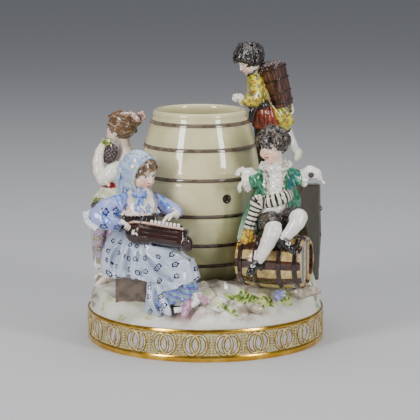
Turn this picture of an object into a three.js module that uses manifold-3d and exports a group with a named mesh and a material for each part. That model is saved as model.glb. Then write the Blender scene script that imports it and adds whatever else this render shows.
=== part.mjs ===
// Porcelain figure group: four children at the grape harvest round a large open barrel.
// A drum-shaped plinth carries a rocky mound, the barrel, a keg on its side and a tall stand.
// Millimetres, +Z up. The origin is the centre of the underside and the front is -Y.
import * as THREE from 'three';
import { mergeVertices } from 'three/addons/utils/BufferGeometryUtils.js';
import Module from 'manifold-3d';

const wasm = await Module();
wasm.setup();

// Driving dimensions
const BASE_R = 88;            // radius of the plinth drum
const BASE_H = 23.4;          // height of the drum to its top gold line
const BAND_LOW = 4.6;         // top of the foot band
const BAND_HIGH = 20.4;       // bottom of the top band
const BAND_DEPTH = 0.7;       // how far the ring frieze lies back from the two bands

const GROUND = 45;            // plateau of the mound under barrel and keg
const HOLLOW = { x: -46, y: -62, drop: 12, spread: 28 };  // low ground at the seated girl's hem

const BARREL = { x: -4, y: 10, foot: 43, rim: 168.4, bulge: 45.1, middle: 108, curve: 0.00327 };
const BARREL_WALL = 4;
const BARREL_FLOOR = 52;      // top of the barrel's inner floor
const HOOPS = [160, 142.5, 121, 94.6, 72.6, 56.8];
const HOOP_W = 2.9;
const HOOP_T = 0.7;

const KEG = { x: 50, y: -38, z: 64, turn: -19, length: 49, end: 18, belly: 20.6 };
const KEG_HOOPS = [-20.5, -9, 9, 20.5];

const STAND = { left: 30, right: 85, front: 5, top: 108, board: 6, boardTop: 112.5 };
const BLOCK = { x: -51, y: -37, top: 59, w: 24, d: 22, foot: 20, turn: -14 };

// Small tools for closed shapes
function soften(geometry) {
  const bare = geometry.index ? geometry.toNonIndexed() : geometry.clone();
  for (const name of Object.keys(bare.attributes)) {
    if (name !== 'position') bare.deleteAttribute(name);
  }
  return mergeVertices(bare, 1e-4);
}

function toSolid(geometry) {
  const merged = soften(geometry);
  const p = merged.attributes.position.array;
  const index = merged.index.array;
  const kept = [];
  let volume = 0;
  for (let i = 0; i < index.length; i += 3) {
    const [a, b, c] = [index[i], index[i + 1], index[i + 2]];
    if (a === b || b === c || a === c) continue;
    kept.push(a, b, c);
    volume += p[3 * a] * (p[3 * b + 1] * p[3 * c + 2] - p[3 * b + 2] * p[3 * c + 1])
      + p[3 * a + 1] * (p[3 * b + 2] * p[3 * c] - p[3 * b] * p[3 * c + 2])
      + p[3 * a + 2] * (p[3 * b] * p[3 * c + 1] - p[3 * b + 1] * p[3 * c]);
  }
  if (volume < 0) {
    for (let i = 0; i < kept.length; i += 3) [kept[i], kept[i + 1]] = [kept[i + 1], kept[i]];
  }
  return new wasm.Manifold(new wasm.Mesh({
    numProp: 3,
    vertProperties: new Float32Array(p),
    triVerts: new Uint32Array(kept),
  }));
}

// Outer skin of the joined clay: pin-prick voids left inside, where limbs cross, are filled
function toGeometry(solid) {
  const mesh = solid.getMesh();
  const tri = mesh.triVerts;
  const root = Array.from({ length: mesh.numVert }, (_, i) => i);
  const find = (i) => {
    while (root[i] !== i) i = root[i] = root[root[i]];
    return i;
  };
  for (let i = 0; i < tri.length; i += 3) {
    root[find(tri[i])] = find(tri[i + 1]);
    root[find(tri[i + 1])] = find(tri[i + 2]);
  }
  const shells = new Map();
  for (let i = 0; i < tri.length; i += 3) {
    const shell = find(tri[i]);
    if (!shells.has(shell)) shells.set(shell, []);
    shells.get(shell).push(tri[i], tri[i + 1], tri[i + 2]);
  }
  const skinOnly = [...shells.values()].sort((a, b) => b.length - a.length)[0];
  const xyz = new Float32Array(mesh.numVert * 3);
  for (let i = 0; i < mesh.numVert; i++) {
    for (let k = 0; k < 3; k++) xyz[3 * i + k] = mesh.vertProperties[i * mesh.numProp + k];
  }
  const geometry = new THREE.BufferGeometry();
  geometry.setAttribute('position', new THREE.BufferAttribute(xyz, 3));
  geometry.setIndex(new THREE.BufferAttribute(new Uint32Array(skinOnly), 1));
  geometry.computeVertexNormals();
  return geometry;
}

const join = (solids) => solids.reduce((all, one) => all.add(one));
const rad = (degrees) => degrees * Math.PI / 180;
const smooth = (t) => {
  const s = Math.min(1, Math.max(0, t));
  return s * s * (3 - 2 * s);
};

// Turned shape about a vertical axis; the profile is [radius, height] pairs
function turned(profile, segments) {
  const points = profile.map(([r, z]) => new THREE.Vector2(r, z));
  return new THREE.LatheGeometry(points, segments).rotateX(Math.PI / 2);
}

// Skin over rings of equal count, closed at both ends on a tip point
function skin(rings, tipStart, tipEnd) {
  const n = rings[0].length;
  const xyz = [];
  const index = [];
  for (const ring of rings) for (const p of ring) xyz.push(p.x, p.y, p.z);
  for (let k = 0; k + 1 < rings.length; k++) {
    for (let i = 0; i < n; i++) {
      const j = (i + 1) % n;
      const [a, b, c, d] = [k * n + i, k * n + j, (k + 1) * n + j, (k + 1) * n + i];
      index.push(a, b, c, a, c, d);
    }
  }
  const last = (rings.length - 1) * n;
  xyz.push(tipStart.x, tipStart.y, tipStart.z, tipEnd.x, tipEnd.y, tipEnd.z);
  const start = rings.length * n;
  for (let i = 0; i < n; i++) {
    const j = (i + 1) % n;
    index.push(start, j, i, start + 1, last + i, last + j);
  }
  const geometry = new THREE.BufferGeometry();
  geometry.setAttribute('position', new THREE.BufferAttribute(new Float32Array(xyz), 3));
  geometry.setIndex(index);
  return geometry;
}

// Limb, sleeve or strap: round sections [x, y, z, radius, flatten] along a path, domed ends
function limb(stations, sides = 6) {
  const centres = stations.map(([x, y, z]) => new THREE.Vector3(x, y, z));
  let side = null;
  const ends = [];
  const rings = centres.map((c, k) => {
    const before = centres[Math.max(0, k - 1)];
    const after = centres[Math.min(centres.length - 1, k + 1)];
    const along = after.clone().sub(before).normalize();
    if (!side) side = Math.abs(along.z) > 0.8 ? new THREE.Vector3(1, 0, 0) : new THREE.Vector3(0, 0, 1);
    side = side.clone().addScaledVector(along, -side.dot(along)).normalize();
    const other = along.clone().cross(side);
    const r = stations[k][3];
    const flat = stations[k][4] ?? 1;
    ends.push(along.multiplyScalar(0.6 * Math.min(r, r * flat)));
    return Array.from({ length: sides }, (_, i) => {
      const t = 2 * Math.PI * i / sides;
      return c.clone().addScaledVector(side, r * Math.cos(t)).addScaledVector(other, r * flat * Math.sin(t));
    });
  });
  const tipStart = centres[0].clone().sub(ends[0]);
  const tipEnd = centres[centres.length - 1].clone().add(ends[ends.length - 1]);
  return toSolid(skin(rings, tipStart, tipEnd));
}

// Draped cloth: level sections {x, y, z, rx, ry, turn, fold} with folds running down the sides
function drape(sections, folds, sides, phase = 0) {
  const rings = sections.map(({ x, y, z, rx, ry, turn = 0, fold = 0, rise = 0 }) => {
    return Array.from({ length: sides }, (_, i) => {
      const t = 2 * Math.PI * i / sides;
      const wave = 1 + fold * Math.cos(folds * t + phase);
      const a = rx * wave * Math.cos(t);
      const b = ry * wave * Math.sin(t);
      const [c, s] = [Math.cos(rad(turn)), Math.sin(rad(turn))];
      return new THREE.Vector3(x + a * c - b * s, y + a * s + b * c, z + rise * Math.cos(folds * t + phase));
    });
  });
  const first = sections[0];
  const last = sections[sections.length - 1];
  return toSolid(skin(rings, new THREE.Vector3(first.x, first.y, first.z),
    new THREE.Vector3(last.x, last.y, last.z)));
}

// Egg-shaped body at a point, tilted by Euler angles in degrees
function egg(x, y, z, rx, ry, rz, tilt = [0, 0, 0], wide = 8, high = 5) {
  const g = new THREE.SphereGeometry(1, wide, high).rotateX(Math.PI / 2);
  g.scale(rx, ry, rz);
  g.rotateX(rad(tilt[0])).rotateY(rad(tilt[1])).rotateZ(rad(tilt[2])).translate(x, y, z);
  return toSolid(g);
}

// Head of hair or cluster of fruit: an egg with rows of round locks
function curls(x, y, z, rx, ry, rz, lift, tilt = [0, 0, 0], wide = 16, high = 9, around = 5, rows = 4) {
  const g = soften(new THREE.SphereGeometry(1, wide, high).rotateX(Math.PI / 2));
  const p = g.attributes.position;
  for (let i = 0; i < p.count; i++) {
    const t = Math.atan2(p.getY(i), p.getX(i));
    const f = Math.acos(Math.max(-1, Math.min(1, p.getZ(i))));
    const k = 1 + lift * Math.cos(around * t + 2 * f) * Math.sin(rows * f) * Math.sin(f);
    p.setXYZ(i, p.getX(i) * k * rx, p.getY(i) * k * ry, p.getZ(i) * k * rz);
  }
  g.rotateX(rad(tilt[0])).rotateY(rad(tilt[1])).rotateZ(rad(tilt[2])).translate(x, y, z);
  return toSolid(g);
}

function box(x, y, z, w, d, h, turn = [0, 0, 0]) {
  const g = new THREE.BoxGeometry(w, d, h);
  g.rotateX(rad(turn[0])).rotateY(rad(turn[1])).rotateZ(rad(turn[2])).translate(x, y, z);
  return toSolid(g);
}

// Plinth drum with a foot band, a recessed ring frieze and a rounded top band
function plinth() {
  return toSolid(turned([
    [0, 0], [BASE_R, 0], [BASE_R, BAND_LOW - 0.4],
    [BASE_R - BAND_DEPTH, BAND_LOW], [BASE_R - BAND_DEPTH, BAND_HIGH],
    [BASE_R, BAND_HIGH + 0.4], [BASE_R, BASE_H - 0.9], [BASE_R - 1.4, BASE_H], [0, BASE_H],
  ], 36));
}

// Height of the mound: steep at the sides and back, a long slope at the front
function groundHeight(x, y) {
  const r = Math.hypot(x, y);
  const fall = Math.exp(-(((x - HOLLOW.x) / HOLLOW.spread) ** 2) - (((y - HOLLOW.y) / HOLLOW.spread) ** 2));
  const plateau = GROUND - HOLLOW.drop * fall + 3 * smooth((x - 55) / 20) - 5 * smooth((-x - 48) / 18);
  const facing = r > 0 ? Math.max(0, -y / r) : 0;
  const gentle = 46 - 34 * smooth((-x - 12) / 36);
  const run = 7 + gentle * smooth((facing - 0.35) / 0.65);
  const lumps = 0.6 * Math.sin(x / 9) * Math.cos(y / 8) * smooth((BASE_R - 4 - r) / 20);
  return BASE_H + (plateau - BASE_H) * smooth((BASE_R - 1.6 - r) / run) ** 0.8 + lumps;
}

function mound() {
  const around = 28;
  const radii = [BASE_R - 1.6, 84.2, 81.5, 76, 66, 52, 30];
  const rings = [Array.from({ length: around }, (_, i) => {
    const t = 2 * Math.PI * i / around;
    return new THREE.Vector3((BASE_R - 1.6) * Math.cos(t), (BASE_R - 1.6) * Math.sin(t), BASE_H - 5);
  })];
  for (const r of radii) {
    rings.push(Array.from({ length: around }, (_, i) => {
      const t = 2 * Math.PI * i / around;
      const [x, y] = [r * Math.cos(t), r * Math.sin(t)];
      return new THREE.Vector3(x, y, groundHeight(x, y));
    }));
  }
  return toSolid(skin(rings, new THREE.Vector3(0, 0, BASE_H - 5), new THREE.Vector3(0, 0, groundHeight(0, 0))));
}

// Weathered stones laid against the barrel's foot
function stones() {
  const laid = [
    [-2, -38, 42, 13, 8, 6], [18, -40, 41, 10, 8, 5.5], 
    [16, -55, 35, 12, 7, 4.5], [68, -42, 43, 10, 12, 5], [-76, 8, 36, 9, 12, 6],
  ];
  return laid.map(([x, y, z, rx, ry, rz], i) => egg(x, y, z, rx, ry, rz, [8 * Math.sin(i * 2), 9 * Math.cos(i), 37 * i], 6, 4));
}

const barrelRadius = (z) => BARREL.bulge - BARREL.curve * (z - BARREL.middle) ** 2;

// Open barrel: bulged staves, six raised hoops, a rolled lip and a true wall
function barrel() {
  const outer = [];
  for (const z of [...HOOPS].reverse()) {
    const [low, high] = [z - HOOP_W / 2, z + HOOP_W / 2];
    outer.push([barrelRadius(low), low], [barrelRadius(z) + HOOP_T, z - 0.6],
      [barrelRadius(high), high]);
  }
  const lip = BARREL.rim;
  const profile = [
    [0, BARREL.foot], [barrelRadius(BARREL.foot), BARREL.foot], ...outer,
    [barrelRadius(lip - 3.5) + 0.1, lip - 3.5], [barrelRadius(lip - 1.4), lip - 1], [32.6, lip],
    [30.6, lip - 0.7], [30.4, lip - 3], [barrelRadius(150) - BARREL_WALL, 150],
    [barrelRadius(128) - BARREL_WALL, 128], [barrelRadius(96) - BARREL_WALL, 96],
    [barrelRadius(70) - BARREL_WALL, 70], [barrelRadius(BARREL_FLOOR) - BARREL_WALL, BARREL_FLOOR],
    [0, BARREL_FLOOR],
  ];
  return toSolid(turned(profile, 24).translate(BARREL.x, BARREL.y, 0));
}

// Keg on its side: staves with four raised hoops and sunk heads
function keg() {
  const half = KEG.length / 2;
  const r = (s) => KEG.end + (KEG.belly - KEG.end) * (1 - (s / half) ** 2);
  const profile = [[0, -half + 1.2], [KEG.end - 2, -half + 1.2], [KEG.end - 1.2, -half], [KEG.end, -half + 0.6]];
  for (const s of KEG_HOOPS) {
    profile.push([r(s - 1.9), s - 1.9], [r(s) + 0.8, s], [r(s + 1.9), s + 1.9]);
  }
  profile.push([KEG.end, half - 0.6], [KEG.end - 1.2, half], [KEG.end - 2, half - 1.2], [0, half - 1.2]);
  const g = turned(profile, 14).rotateY(Math.PI / 2).rotateZ(rad(KEG.turn)).translate(KEG.x, KEG.y, KEG.z);
  return toSolid(g);
}

// Tall stand behind the keg: an upright board in front and a rough pier behind it
function stand() {
  const w = STAND.right - STAND.left;
  const board = new THREE.Shape();
  board.moveTo(0, 0);
  board.lineTo(w - 1, 0);
  board.quadraticCurveTo(w + 1.2, 34, w - 0.6, STAND.boardTop - 40);
  board.lineTo(0, STAND.boardTop - 40);
  board.closePath();
  const plank = new THREE.ExtrudeGeometry(board, { depth: STAND.board, bevelEnabled: false, curveSegments: 5 });
  plank.rotateX(Math.PI / 2).translate(STAND.left, STAND.front + STAND.board, 40);
  const pier = drape([
    { x: 52, y: 31, z: 30, rx: 30, ry: 26, fold: 0.03 },
    { x: 53, y: 30, z: 70, rx: 28, ry: 24, fold: 0.05 },
    { x: 55, y: 29, z: STAND.top, rx: 26, ry: 22, fold: 0.03 },
  ], 4, 10, 0.7);
  return [toSolid(plank), pier];
}

// Rough-hewn block that the seated girl sits on
function block() {
  const h = BLOCK.top - BLOCK.foot;
  return box(BLOCK.x, BLOCK.y, BLOCK.foot + h / 2, BLOCK.w, BLOCK.d, h, [0, 0, BLOCK.turn]);
}

// Child's head with chin and nose. turn is the way it looks, nod bends it forward
function head(x, y, z, turn, nod, size = 1) {
  const levels = [
    [-12.4, 2.6, 2.4, 4.2, 0], [-9.4, 5.8, 5.4, 3.2, 0], [-4.8, 8.2, 8.4, 1.4, 1.6],
    [-1, 9.2, 9.4, 0.6, 0.2], [5.5, 9.6, 10.2, 0, 0], [11, 6, 6.8, -0.6, 0],
  ];
  const rings = levels.map(([up, rx, ry, forward, nose]) => Array.from({ length: 8 }, (_, i) => {
    const t = 2 * Math.PI * i / 8;
    return new THREE.Vector3(rx * Math.cos(t), forward + ry * Math.sin(t) + (i === 2 ? nose : 0), up);
  }));
  const geometry = skin(rings, new THREE.Vector3(0, 4.2, -13.2), new THREE.Vector3(0, -0.6, 12.4));
  geometry.scale(size, size, size).rotateX(rad(-nod)).rotateZ(rad(turn)).translate(x, y, z);
  return toSolid(geometry);
}

// Seated girl with the hurdy-gurdy, front left
function seatedGirl() {
  const skirt = drape([
    { x: -52, y: -41, z: 92, rx: 9.5, ry: 8 },
    { x: -51, y: -42, z: 84, rx: 17, ry: 13, turn: -14, fold: 0.04 },
    { x: -46, y: -45, z: 76, rx: 27, ry: 16.5, turn: -15, fold: 0.05 },
    { x: -42, y: -46.5, z: 64, rx: 33, ry: 19, turn: -14, fold: 0.06 },
    { x: -41, y: -46.5, z: 55, rx: 34, ry: 20, turn: -13, fold: 0.07, rise: 1.4 },
  ], 6, 20, 1.1);
  const fall = drape([
    { x: -24, y: -52, z: 68, rx: 16, ry: 14, turn: -12, fold: 0.04 },
    { x: -22.5, y: -53.5, z: 56, rx: 18, ry: 15.5, turn: -12, fold: 0.06 },
    { x: -23, y: -55, z: 41, rx: 18.8, ry: 15.5, turn: -10, fold: 0.09 },
    { x: -27, y: -56, z: 26, rx: 17, ry: 14, turn: -10, fold: 0.08 },
  ], 5, 16, 0.4);
  const shoes = [
    limb([[-12, -63, 38, 3.6], [-13.4, -69, 34.5, 3.6, 0.9], [-14.4, -73.6, 31.6, 2.2, 0.8]]),
    limb([[-8, -59, 40.5, 3.2], [-3, -61, 39.6, 3, 0.9], [1.6, -62.4, 39, 1.6, 0.8]]),
  ];
  const torso = drape([
    { x: -52, y: -41.5, z: 86, rx: 10, ry: 8, turn: -45 },
    { x: -51, y: -42, z: 97, rx: 11, ry: 9, turn: -45 },
    { x: -50.4, y: -42.4, z: 108, rx: 12.6, ry: 9.4, turn: -45 },
    { x: -48.6, y: -42.2, z: 113, rx: 9, ry: 8, turn: -45 },
    { x: -46, y: -42, z: 120, rx: 5.6, ry: 5.6 },
  ], 2, 8);
  const arms = [
    limb([[-58, -48, 108, 5.6], [-66, -50, 104.4, 7], [-74.5, -50.5, 100, 8], [-78, -51, 96, 6.4]], 7),
    limb([[-82, -49, 98.4, 3.4], [-74, -54, 95.6, 5.4], [-66, -58, 95.6, 4.6], [-58, -61, 96, 2.8]], 6),
    limb([[-42, -35, 108, 5.4], [-34, -37, 104, 6], [-29, -41, 101, 4.8], [-24.6, -48, 100, 3.8],
      [-24.4, -54, 98, 3, 0.7], [-26, -58, 95.6, 1.8, 0.7]], 6),
  ];
  const kerchief = drape([
    { x: -48, y: -44, z: 98.6, rx: 13.4, ry: 12, turn: -45, fold: 0.06 },
    { x: -47.6, y: -43.6, z: 106, rx: 15.4, ry: 13, turn: -45, fold: 0.06 },
    { x: -46, y: -42.6, z: 117, rx: 8.4, ry: 8, turn: -45 },
  ], 5, 10);
  const hood = [
    curls(-47.2, -41, 131.4, 13.6, 12.6, 12.8, 0.03, [0, -6, 0], 10, 7, 5, 3),
    limb([[-56, -38.5, 135, 5, 0.8], [-59.6, -37.5, 125, 5.2, 0.7], [-58, -39, 112, 5.4, 0.8]], 6),
  ];
  const body = new THREE.Shape();
  body.moveTo(-22, -3);
  body.quadraticCurveTo(-21, 8, -10, 8);
  body.lineTo(10, 6);
  body.lineTo(22, 5);
  body.lineTo(22, -7);
  body.lineTo(8, -8);
  body.quadraticCurveTo(-14, -11, -22, -3);
  const fiddle = new THREE.ExtrudeGeometry(body, { depth: 12, bevelEnabled: false, curveSegments: 3 });
  fiddle.translate(0, 0, -6).rotateX(rad(-24)).rotateY(rad(7)).rotateZ(rad(-6)).translate(-35.4, -60, 86.6);
  const keys = box(-28, -59.5, 92.4, 16, 6, 3.4, [-24, 7, -6]);
  return [skirt, fall, ...shoes, torso, ...arms, kerchief, head(-44.6, -43, 129.4, -120, 16, 1.04),
    ...hood, toSolid(fiddle), keys];
}

// Standing girl at the back left, seen from behind, with grapes at her mouth
function standingGirl() {
  const skirt = drape([
    { x: -69, y: 18, z: 112, rx: 7.4, ry: 8.2 },
    { x: -72.5, y: 15, z: 94, rx: 11, ry: 13, fold: 0.06 },
    { x: -74, y: 13, z: 74, rx: 11, ry: 14, fold: 0.08 },
    { x: -74, y: 12, z: 50, rx: 9, ry: 12.5, fold: 0.1 },
  ], 5, 15, 0.6);
  const peplum = drape([
    { x: -69.5, y: 17.5, z: 114, rx: 8, ry: 9, fold: 0.03 },
    { x: -72.4, y: 15.4, z: 101, rx: 12.4, ry: 13.6, fold: 0.09, rise: 1 },
  ], 5, 15, 0.2);
  const torso = drape([
    { x: -69.5, y: 18, z: 110, rx: 7.2, ry: 8.2, turn: 35 },
    { x: -64, y: 20.5, z: 122, rx: 8.4, ry: 11.4, turn: 35 },
    { x: -60.4, y: 22, z: 131, rx: 7, ry: 9.8, turn: 35 },
    { x: -60, y: 23, z: 136.6, rx: 4.8, ry: 5, turn: 35 },
    { x: -61, y: 24, z: 145, rx: 4.6, ry: 4.8 },
  ], 2, 8);
  const arms = [
    limb([[-65.5, 13, 125, 5.6], [-71, 10, 119.5, 6.2], [-76, 8.4, 115.4, 5.2], [-79.4, 9.6, 124, 4.2],
      [-79.4, 11, 134, 3.6], [-76.6, 12.6, 141, 2.8], [-70.6, 15.6, 142.6, 2.6, 0.8]], 6),
    limb([[-57, 27, 126, 5.2], [-57, 34, 118, 5.4], [-63, 33, 111, 4.4], [-70, 26, 108, 3.4]], 5),
  ];
  const fruit = [
    curls(-71.6, 15.6, 133.4, 6, 5, 7.6, 0.1, [0, 12, 0], 8, 6, 4, 4),
    curls(-77.5, 8, 98.6, 5.2, 5.6, 3.6, 0.1, [0, 0, 0], 7, 4, 3, 3),
  ];
  const feet = [
    limb([[-71, 6, 54, 3.8], [-71, 1.4, 47, 3.4], [-75, -4.6, 42.4, 2.8], [-79.4, -9.4, 40.2, 2, 0.8]], 6),
    limb([[-71, 16, 54, 3.6], [-73, 17, 45, 3.4], [-80, 16, 41, 2.6, 0.8]], 5),
  ];
  const hair = [
    curls(-62.4, 24.2, 154.6, 12.2, 12, 10.4, 0.05, [0, 0, 0], 10, 6, 5, 3),
    egg(-51.4, 24, 158.6, 5, 5, 5, [0, 0, 0], 7, 5),
  ];
  return [skirt, peplum, torso, ...arms, ...fruit, ...feet, head(-63.5, 25, 151.6, 62, -6, 0.98), ...hair];
}

// Boy with a grape hod, leaning over the barrel's rim at the back right
function leaningBoy() {
  const legs = [
    limb([[44, 32, 158, 7.5], [44.4, 33, 146, 7], [44, 34, 128, 5], [42.4, 33, 106, 4]], 7),
    limb([[52, 34, 156, 7.4], [60.4, 34.4, 148.6, 5.2], [65, 34.8, 139.4, 4.2], [68.4, 35.4, 132, 3.4],
      [67.6, 31, 128.4, 2.4, 0.8]], 6),
  ];
  const coat = drape([
    { x: 56, y: 36, z: 148, rx: 11, ry: 9, fold: 0.12, turn: 12 },
    { x: 54, y: 34.6, z: 157, rx: 13, ry: 10, fold: 0.06, turn: 12 },
    { x: 46, y: 31, z: 172, rx: 10.6, ry: 9, turn: 12 },
    { x: 41, y: 29, z: 183, rx: 10, ry: 10.6 },
    { x: 38, y: 28, z: 190, rx: 7, ry: 9 },
    { x: 35.5, y: 28, z: 197, rx: 4.8, ry: 5 },
  ], 4, 12, 0.5);
  const apron = drape([
    { x: 43.5, y: 27, z: 150, rx: 10.4, ry: 9.5, fold: 0.1 },
    { x: 42.6, y: 27, z: 162, rx: 9.8, ry: 9, fold: 0.05 },
    { x: 41, y: 26.5, z: 171, rx: 7, ry: 7 },
  ], 5, 10, 0.3);
  const arms = [
    limb([[38.4, 20, 187.5, 5.4], [38, 17, 180, 5], [36, 14.6, 173.4, 4.6], [29.4, 13.5, 174.4, 3.8],
      [24.4, 13.2, 176.2, 3.8, 0.9], [21.6, 13.2, 176.6, 2.6, 0.8]], 7),
    limb([[37, 38, 187, 5], [36, 41, 179.4, 4.8], [34, 37.4, 173.4, 4], [30, 29.6, 171.4, 3]], 5),
    egg(64, 34, 166.4, 3, 3.4, 4, [0, -12, 0], 6, 4),
  ];
  const hodShape = new THREE.Shape();
  hodShape.moveTo(-8.6, -16);
  hodShape.lineTo(8.6, -16);
  hodShape.lineTo(10.8, 14.6);
  hodShape.quadraticCurveTo(0, 18.6, -10.8, 14.6);
  hodShape.closePath();
  const hod = new THREE.ExtrudeGeometry(hodShape, { depth: 13, bevelEnabled: false, curveSegments: 3 });
  hod.translate(0, 0, -6.5).rotateX(Math.PI / 2).rotateZ(rad(72)).rotateY(rad(-14)).translate(53.2, 38, 182.4);
  const grapes = curls(49.6, 38, 198.4, 6.4, 9, 4, 0.12, [0, -13, 0], 8, 4, 4, 3);
  const hair = curls(35, 28.2, 204.2, 12.4, 12, 10.6, 0.07, [0, 8, 0], 10, 7, 5, 4);
  return [...legs, coat, apron, ...arms, toSolid(hod), grapes, head(33.4, 27.4, 201, 118, 24, 0.98), hair];
}

// Boy astride the keg, front right, holding out a cap
function seatedBoy() {
  const torso = drape([
    { x: 50, y: -36, z: 84, rx: 12.4, ry: 11, turn: 8 },
    { x: 49.4, y: -38, z: 98, rx: 11, ry: 10.6, turn: 8 },
    { x: 49.8, y: -37, z: 110, rx: 10.6, ry: 9.2, turn: 8 },
    { x: 50, y: -36, z: 123, rx: 12.4, ry: 8, turn: 8 },
    { x: 50, y: -36, z: 129, rx: 9.6, ry: 6.4, turn: 8 },
    { x: 50.2, y: -36.6, z: 137, rx: 4.8, ry: 5 },
  ], 2, 8);
  const jacket = [
    drape([
      { x: 33, y: -28, z: 79, rx: 9, ry: 6, turn: 30, fold: 0.08 },
      { x: 36, y: -29, z: 94, rx: 9, ry: 6.6, turn: 30, fold: 0.06 },
      { x: 42, y: -32, z: 118, rx: 7.4, ry: 6.8, turn: 20 },
      { x: 44, y: -34, z: 128, rx: 5, ry: 5 },
    ], 3, 9),
    limb([[60, -31, 126, 5, 0.8], [62, -29, 106, 6, 0.8], [61, -29, 86, 5.6, 0.8]], 4),
  ];
  const sash = limb([[41, -47, 107.5, 2.2, 2], [34.6, -45.4, 104.6, 3.2, 1.7], [33, -45, 97, 3.4, 1.4],
    [29.6, -44, 86, 4, 1.3], [28, -42, 76.5, 3.2, 1.2]], 6);
  const jabot = [
    limb([[49.6, -44, 131, 3.4, 1.5], [50.4, -46, 120, 4, 1.4], [50.4, -46.8, 111, 2.8, 1.4]], 6),
    drape([
      { x: 50.2, y: -37.4, z: 128, rx: 9.4, ry: 8.8, fold: 0.06, rise: 0.6 },
      { x: 50.2, y: -37.2, z: 133.6, rx: 7.4, ry: 7.4, fold: 0.05 },
    ], 5, 10),
  ];
  const arms = [
    limb([[41, -34, 126, 5.8], [35, -38, 122, 6.2], [30.6, -43, 122, 4.8], [26, -46, 122.4, 4.4, 0.8],
      [20.4, -48.4, 120.4, 3, 0.7]], 7),
    limb([[34.4, -40, 128, 3.2, 1.5], [29, -43.4, 130, 3.2, 1.7], [25.4, -45.4, 131, 2.6, 1.6]], 5),
    limb([[58, -34, 127.5, 5.4], [63, -33, 124.4, 5.8], [67.4, -33.8, 123, 5.2], [71.6, -35, 125.6, 4.6, 0.9],
      [76.6, -35.6, 128, 5, 0.9], [80, -36, 127.6, 3.6, 0.9], [84, -36.4, 121.8, 1]], 7),
  ];
  const legs = [
    limb([[46, -40, 92, 8.4], [47, -52, 93.4, 7.8], [46.6, -61, 90.4, 7], [43.4, -62.4, 82, 6.2],
      [38.6, -61.4, 73, 4.6], [35.4, -60.6, 65.4, 3.6]], 7),
    limb([[37.8, -58, 64.5, 3.6], [34, -63, 62.4, 3.7, 0.8], [30.6, -68, 59.4, 2.9, 0.75]], 6),
    limb([[55, -40, 92, 8.2], [62, -51, 98, 7.4], [67, -58, 99.4, 6.8], [64.4, -60.6, 93.4, 5.8],
      [60.4, -62, 88, 4.4], [58, -62, 84, 3.6]], 7),
    limb([[56.6, -61, 84.2, 3.4], [61, -64, 81.6, 3.5, 0.8], [66, -66.6, 78.4, 2.6, 0.75]], 6),
  ];
  const hair = curls(50.8, -35.4, 150, 13.2, 12.4, 10.6, 0.07, [0, -4, 0], 10, 7, 5, 4);
  return [torso, ...jacket, sash, ...jabot, ...arms, ...legs, head(49, -38.4, 147, 154, 4, 1.04), hair];
}

// The whole group is fired in one piece, with one white glazed body under its paint
function porcelainGroup() {
  const solids = [
    plinth(), mound(), ...stones(), block(), keg(), ...stand(),
    ...seatedGirl(), ...standingGirl(), ...leaningBoy(), ...seatedBoy(),
  ];
  const bore = toSolid(turned([
    [0, BARREL_FLOOR], [barrelRadius(BARREL_FLOOR) - BARREL_WALL - 1, BARREL_FLOOR],
    [barrelRadius(70) - BARREL_WALL - 1, 70], [barrelRadius(108) - BARREL_WALL - 1, 108],
    [barrelRadius(150) - BARREL_WALL - 1, 150], [29, 165], [0, 165],
  ], 24).translate(BARREL.x, BARREL.y, 0));
  const bung = toSolid(new THREE.CylinderGeometry(3, 3, 4, 6).translate(0, BARREL.bulge, 0)
    .rotateZ(rad(-154.5)).translate(BARREL.x, BARREL.y, 107.5));
  const whole = join(solids).subtract(bore).add(barrel()).subtract(bung);
  const material = new THREE.MeshStandardMaterial({ color: '#ece7d8', roughness: 0.12, metalness: 0 });
  const mesh = new THREE.Mesh(toGeometry(whole), material);
  mesh.name = 'porcelain_group';
  return mesh;
}

const group = new THREE.Group();
group.add(porcelainGroup());

export default group;
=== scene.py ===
import math
import bpy
import numpy as np
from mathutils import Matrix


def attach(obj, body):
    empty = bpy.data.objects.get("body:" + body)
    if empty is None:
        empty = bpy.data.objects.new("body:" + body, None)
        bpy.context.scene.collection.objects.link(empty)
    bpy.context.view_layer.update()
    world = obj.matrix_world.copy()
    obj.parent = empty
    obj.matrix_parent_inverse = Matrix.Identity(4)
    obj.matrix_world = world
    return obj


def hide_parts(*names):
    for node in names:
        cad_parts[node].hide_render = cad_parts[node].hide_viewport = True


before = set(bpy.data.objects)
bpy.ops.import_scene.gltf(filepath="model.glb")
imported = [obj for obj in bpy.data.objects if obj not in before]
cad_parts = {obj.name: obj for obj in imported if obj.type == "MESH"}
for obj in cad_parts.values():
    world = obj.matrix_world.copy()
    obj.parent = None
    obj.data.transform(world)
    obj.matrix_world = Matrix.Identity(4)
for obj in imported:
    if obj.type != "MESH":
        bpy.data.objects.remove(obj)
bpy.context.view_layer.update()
import openvdb

# Camera. It stands where the photograph was taken, 1.4 m in front of the group and a little
# above it, looking down by 9.7 degrees through a long lens.
CAMERA_AT = (0.003364, -1.384455, 0.331109)
LOOK_DOWN = 9.7126
LENS = 162.28
camera_data = bpy.data.cameras.new("camera")
camera_data.lens = LENS
camera_data.sensor_width = 36.0
camera_data.clip_end = 20.0
camera = bpy.data.objects.new("camera", camera_data)
camera.location = CAMERA_AT
camera.rotation_euler = (math.radians(90 - LOOK_DOWN), 0, 0)
bpy.context.scene.collection.objects.link(camera)
bpy.context.scene.camera = camera


# Studio. A plain pale floor, two tall soft boxes in front and one overhead, and a grey room.
# The tall boxes give the two upright highlights that a glazed barrel shows.
def linear(code):
    """An sRGB hex colour as linear red, green, blue and alpha"""
    parts = [int(code[i:i + 2], 16) / 255 for i in (1, 3, 5)]
    return [c / 12.92 if c <= 0.04045 else ((c + 0.055) / 1.055) ** 2.4 for c in parts] + [1.0]


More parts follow.
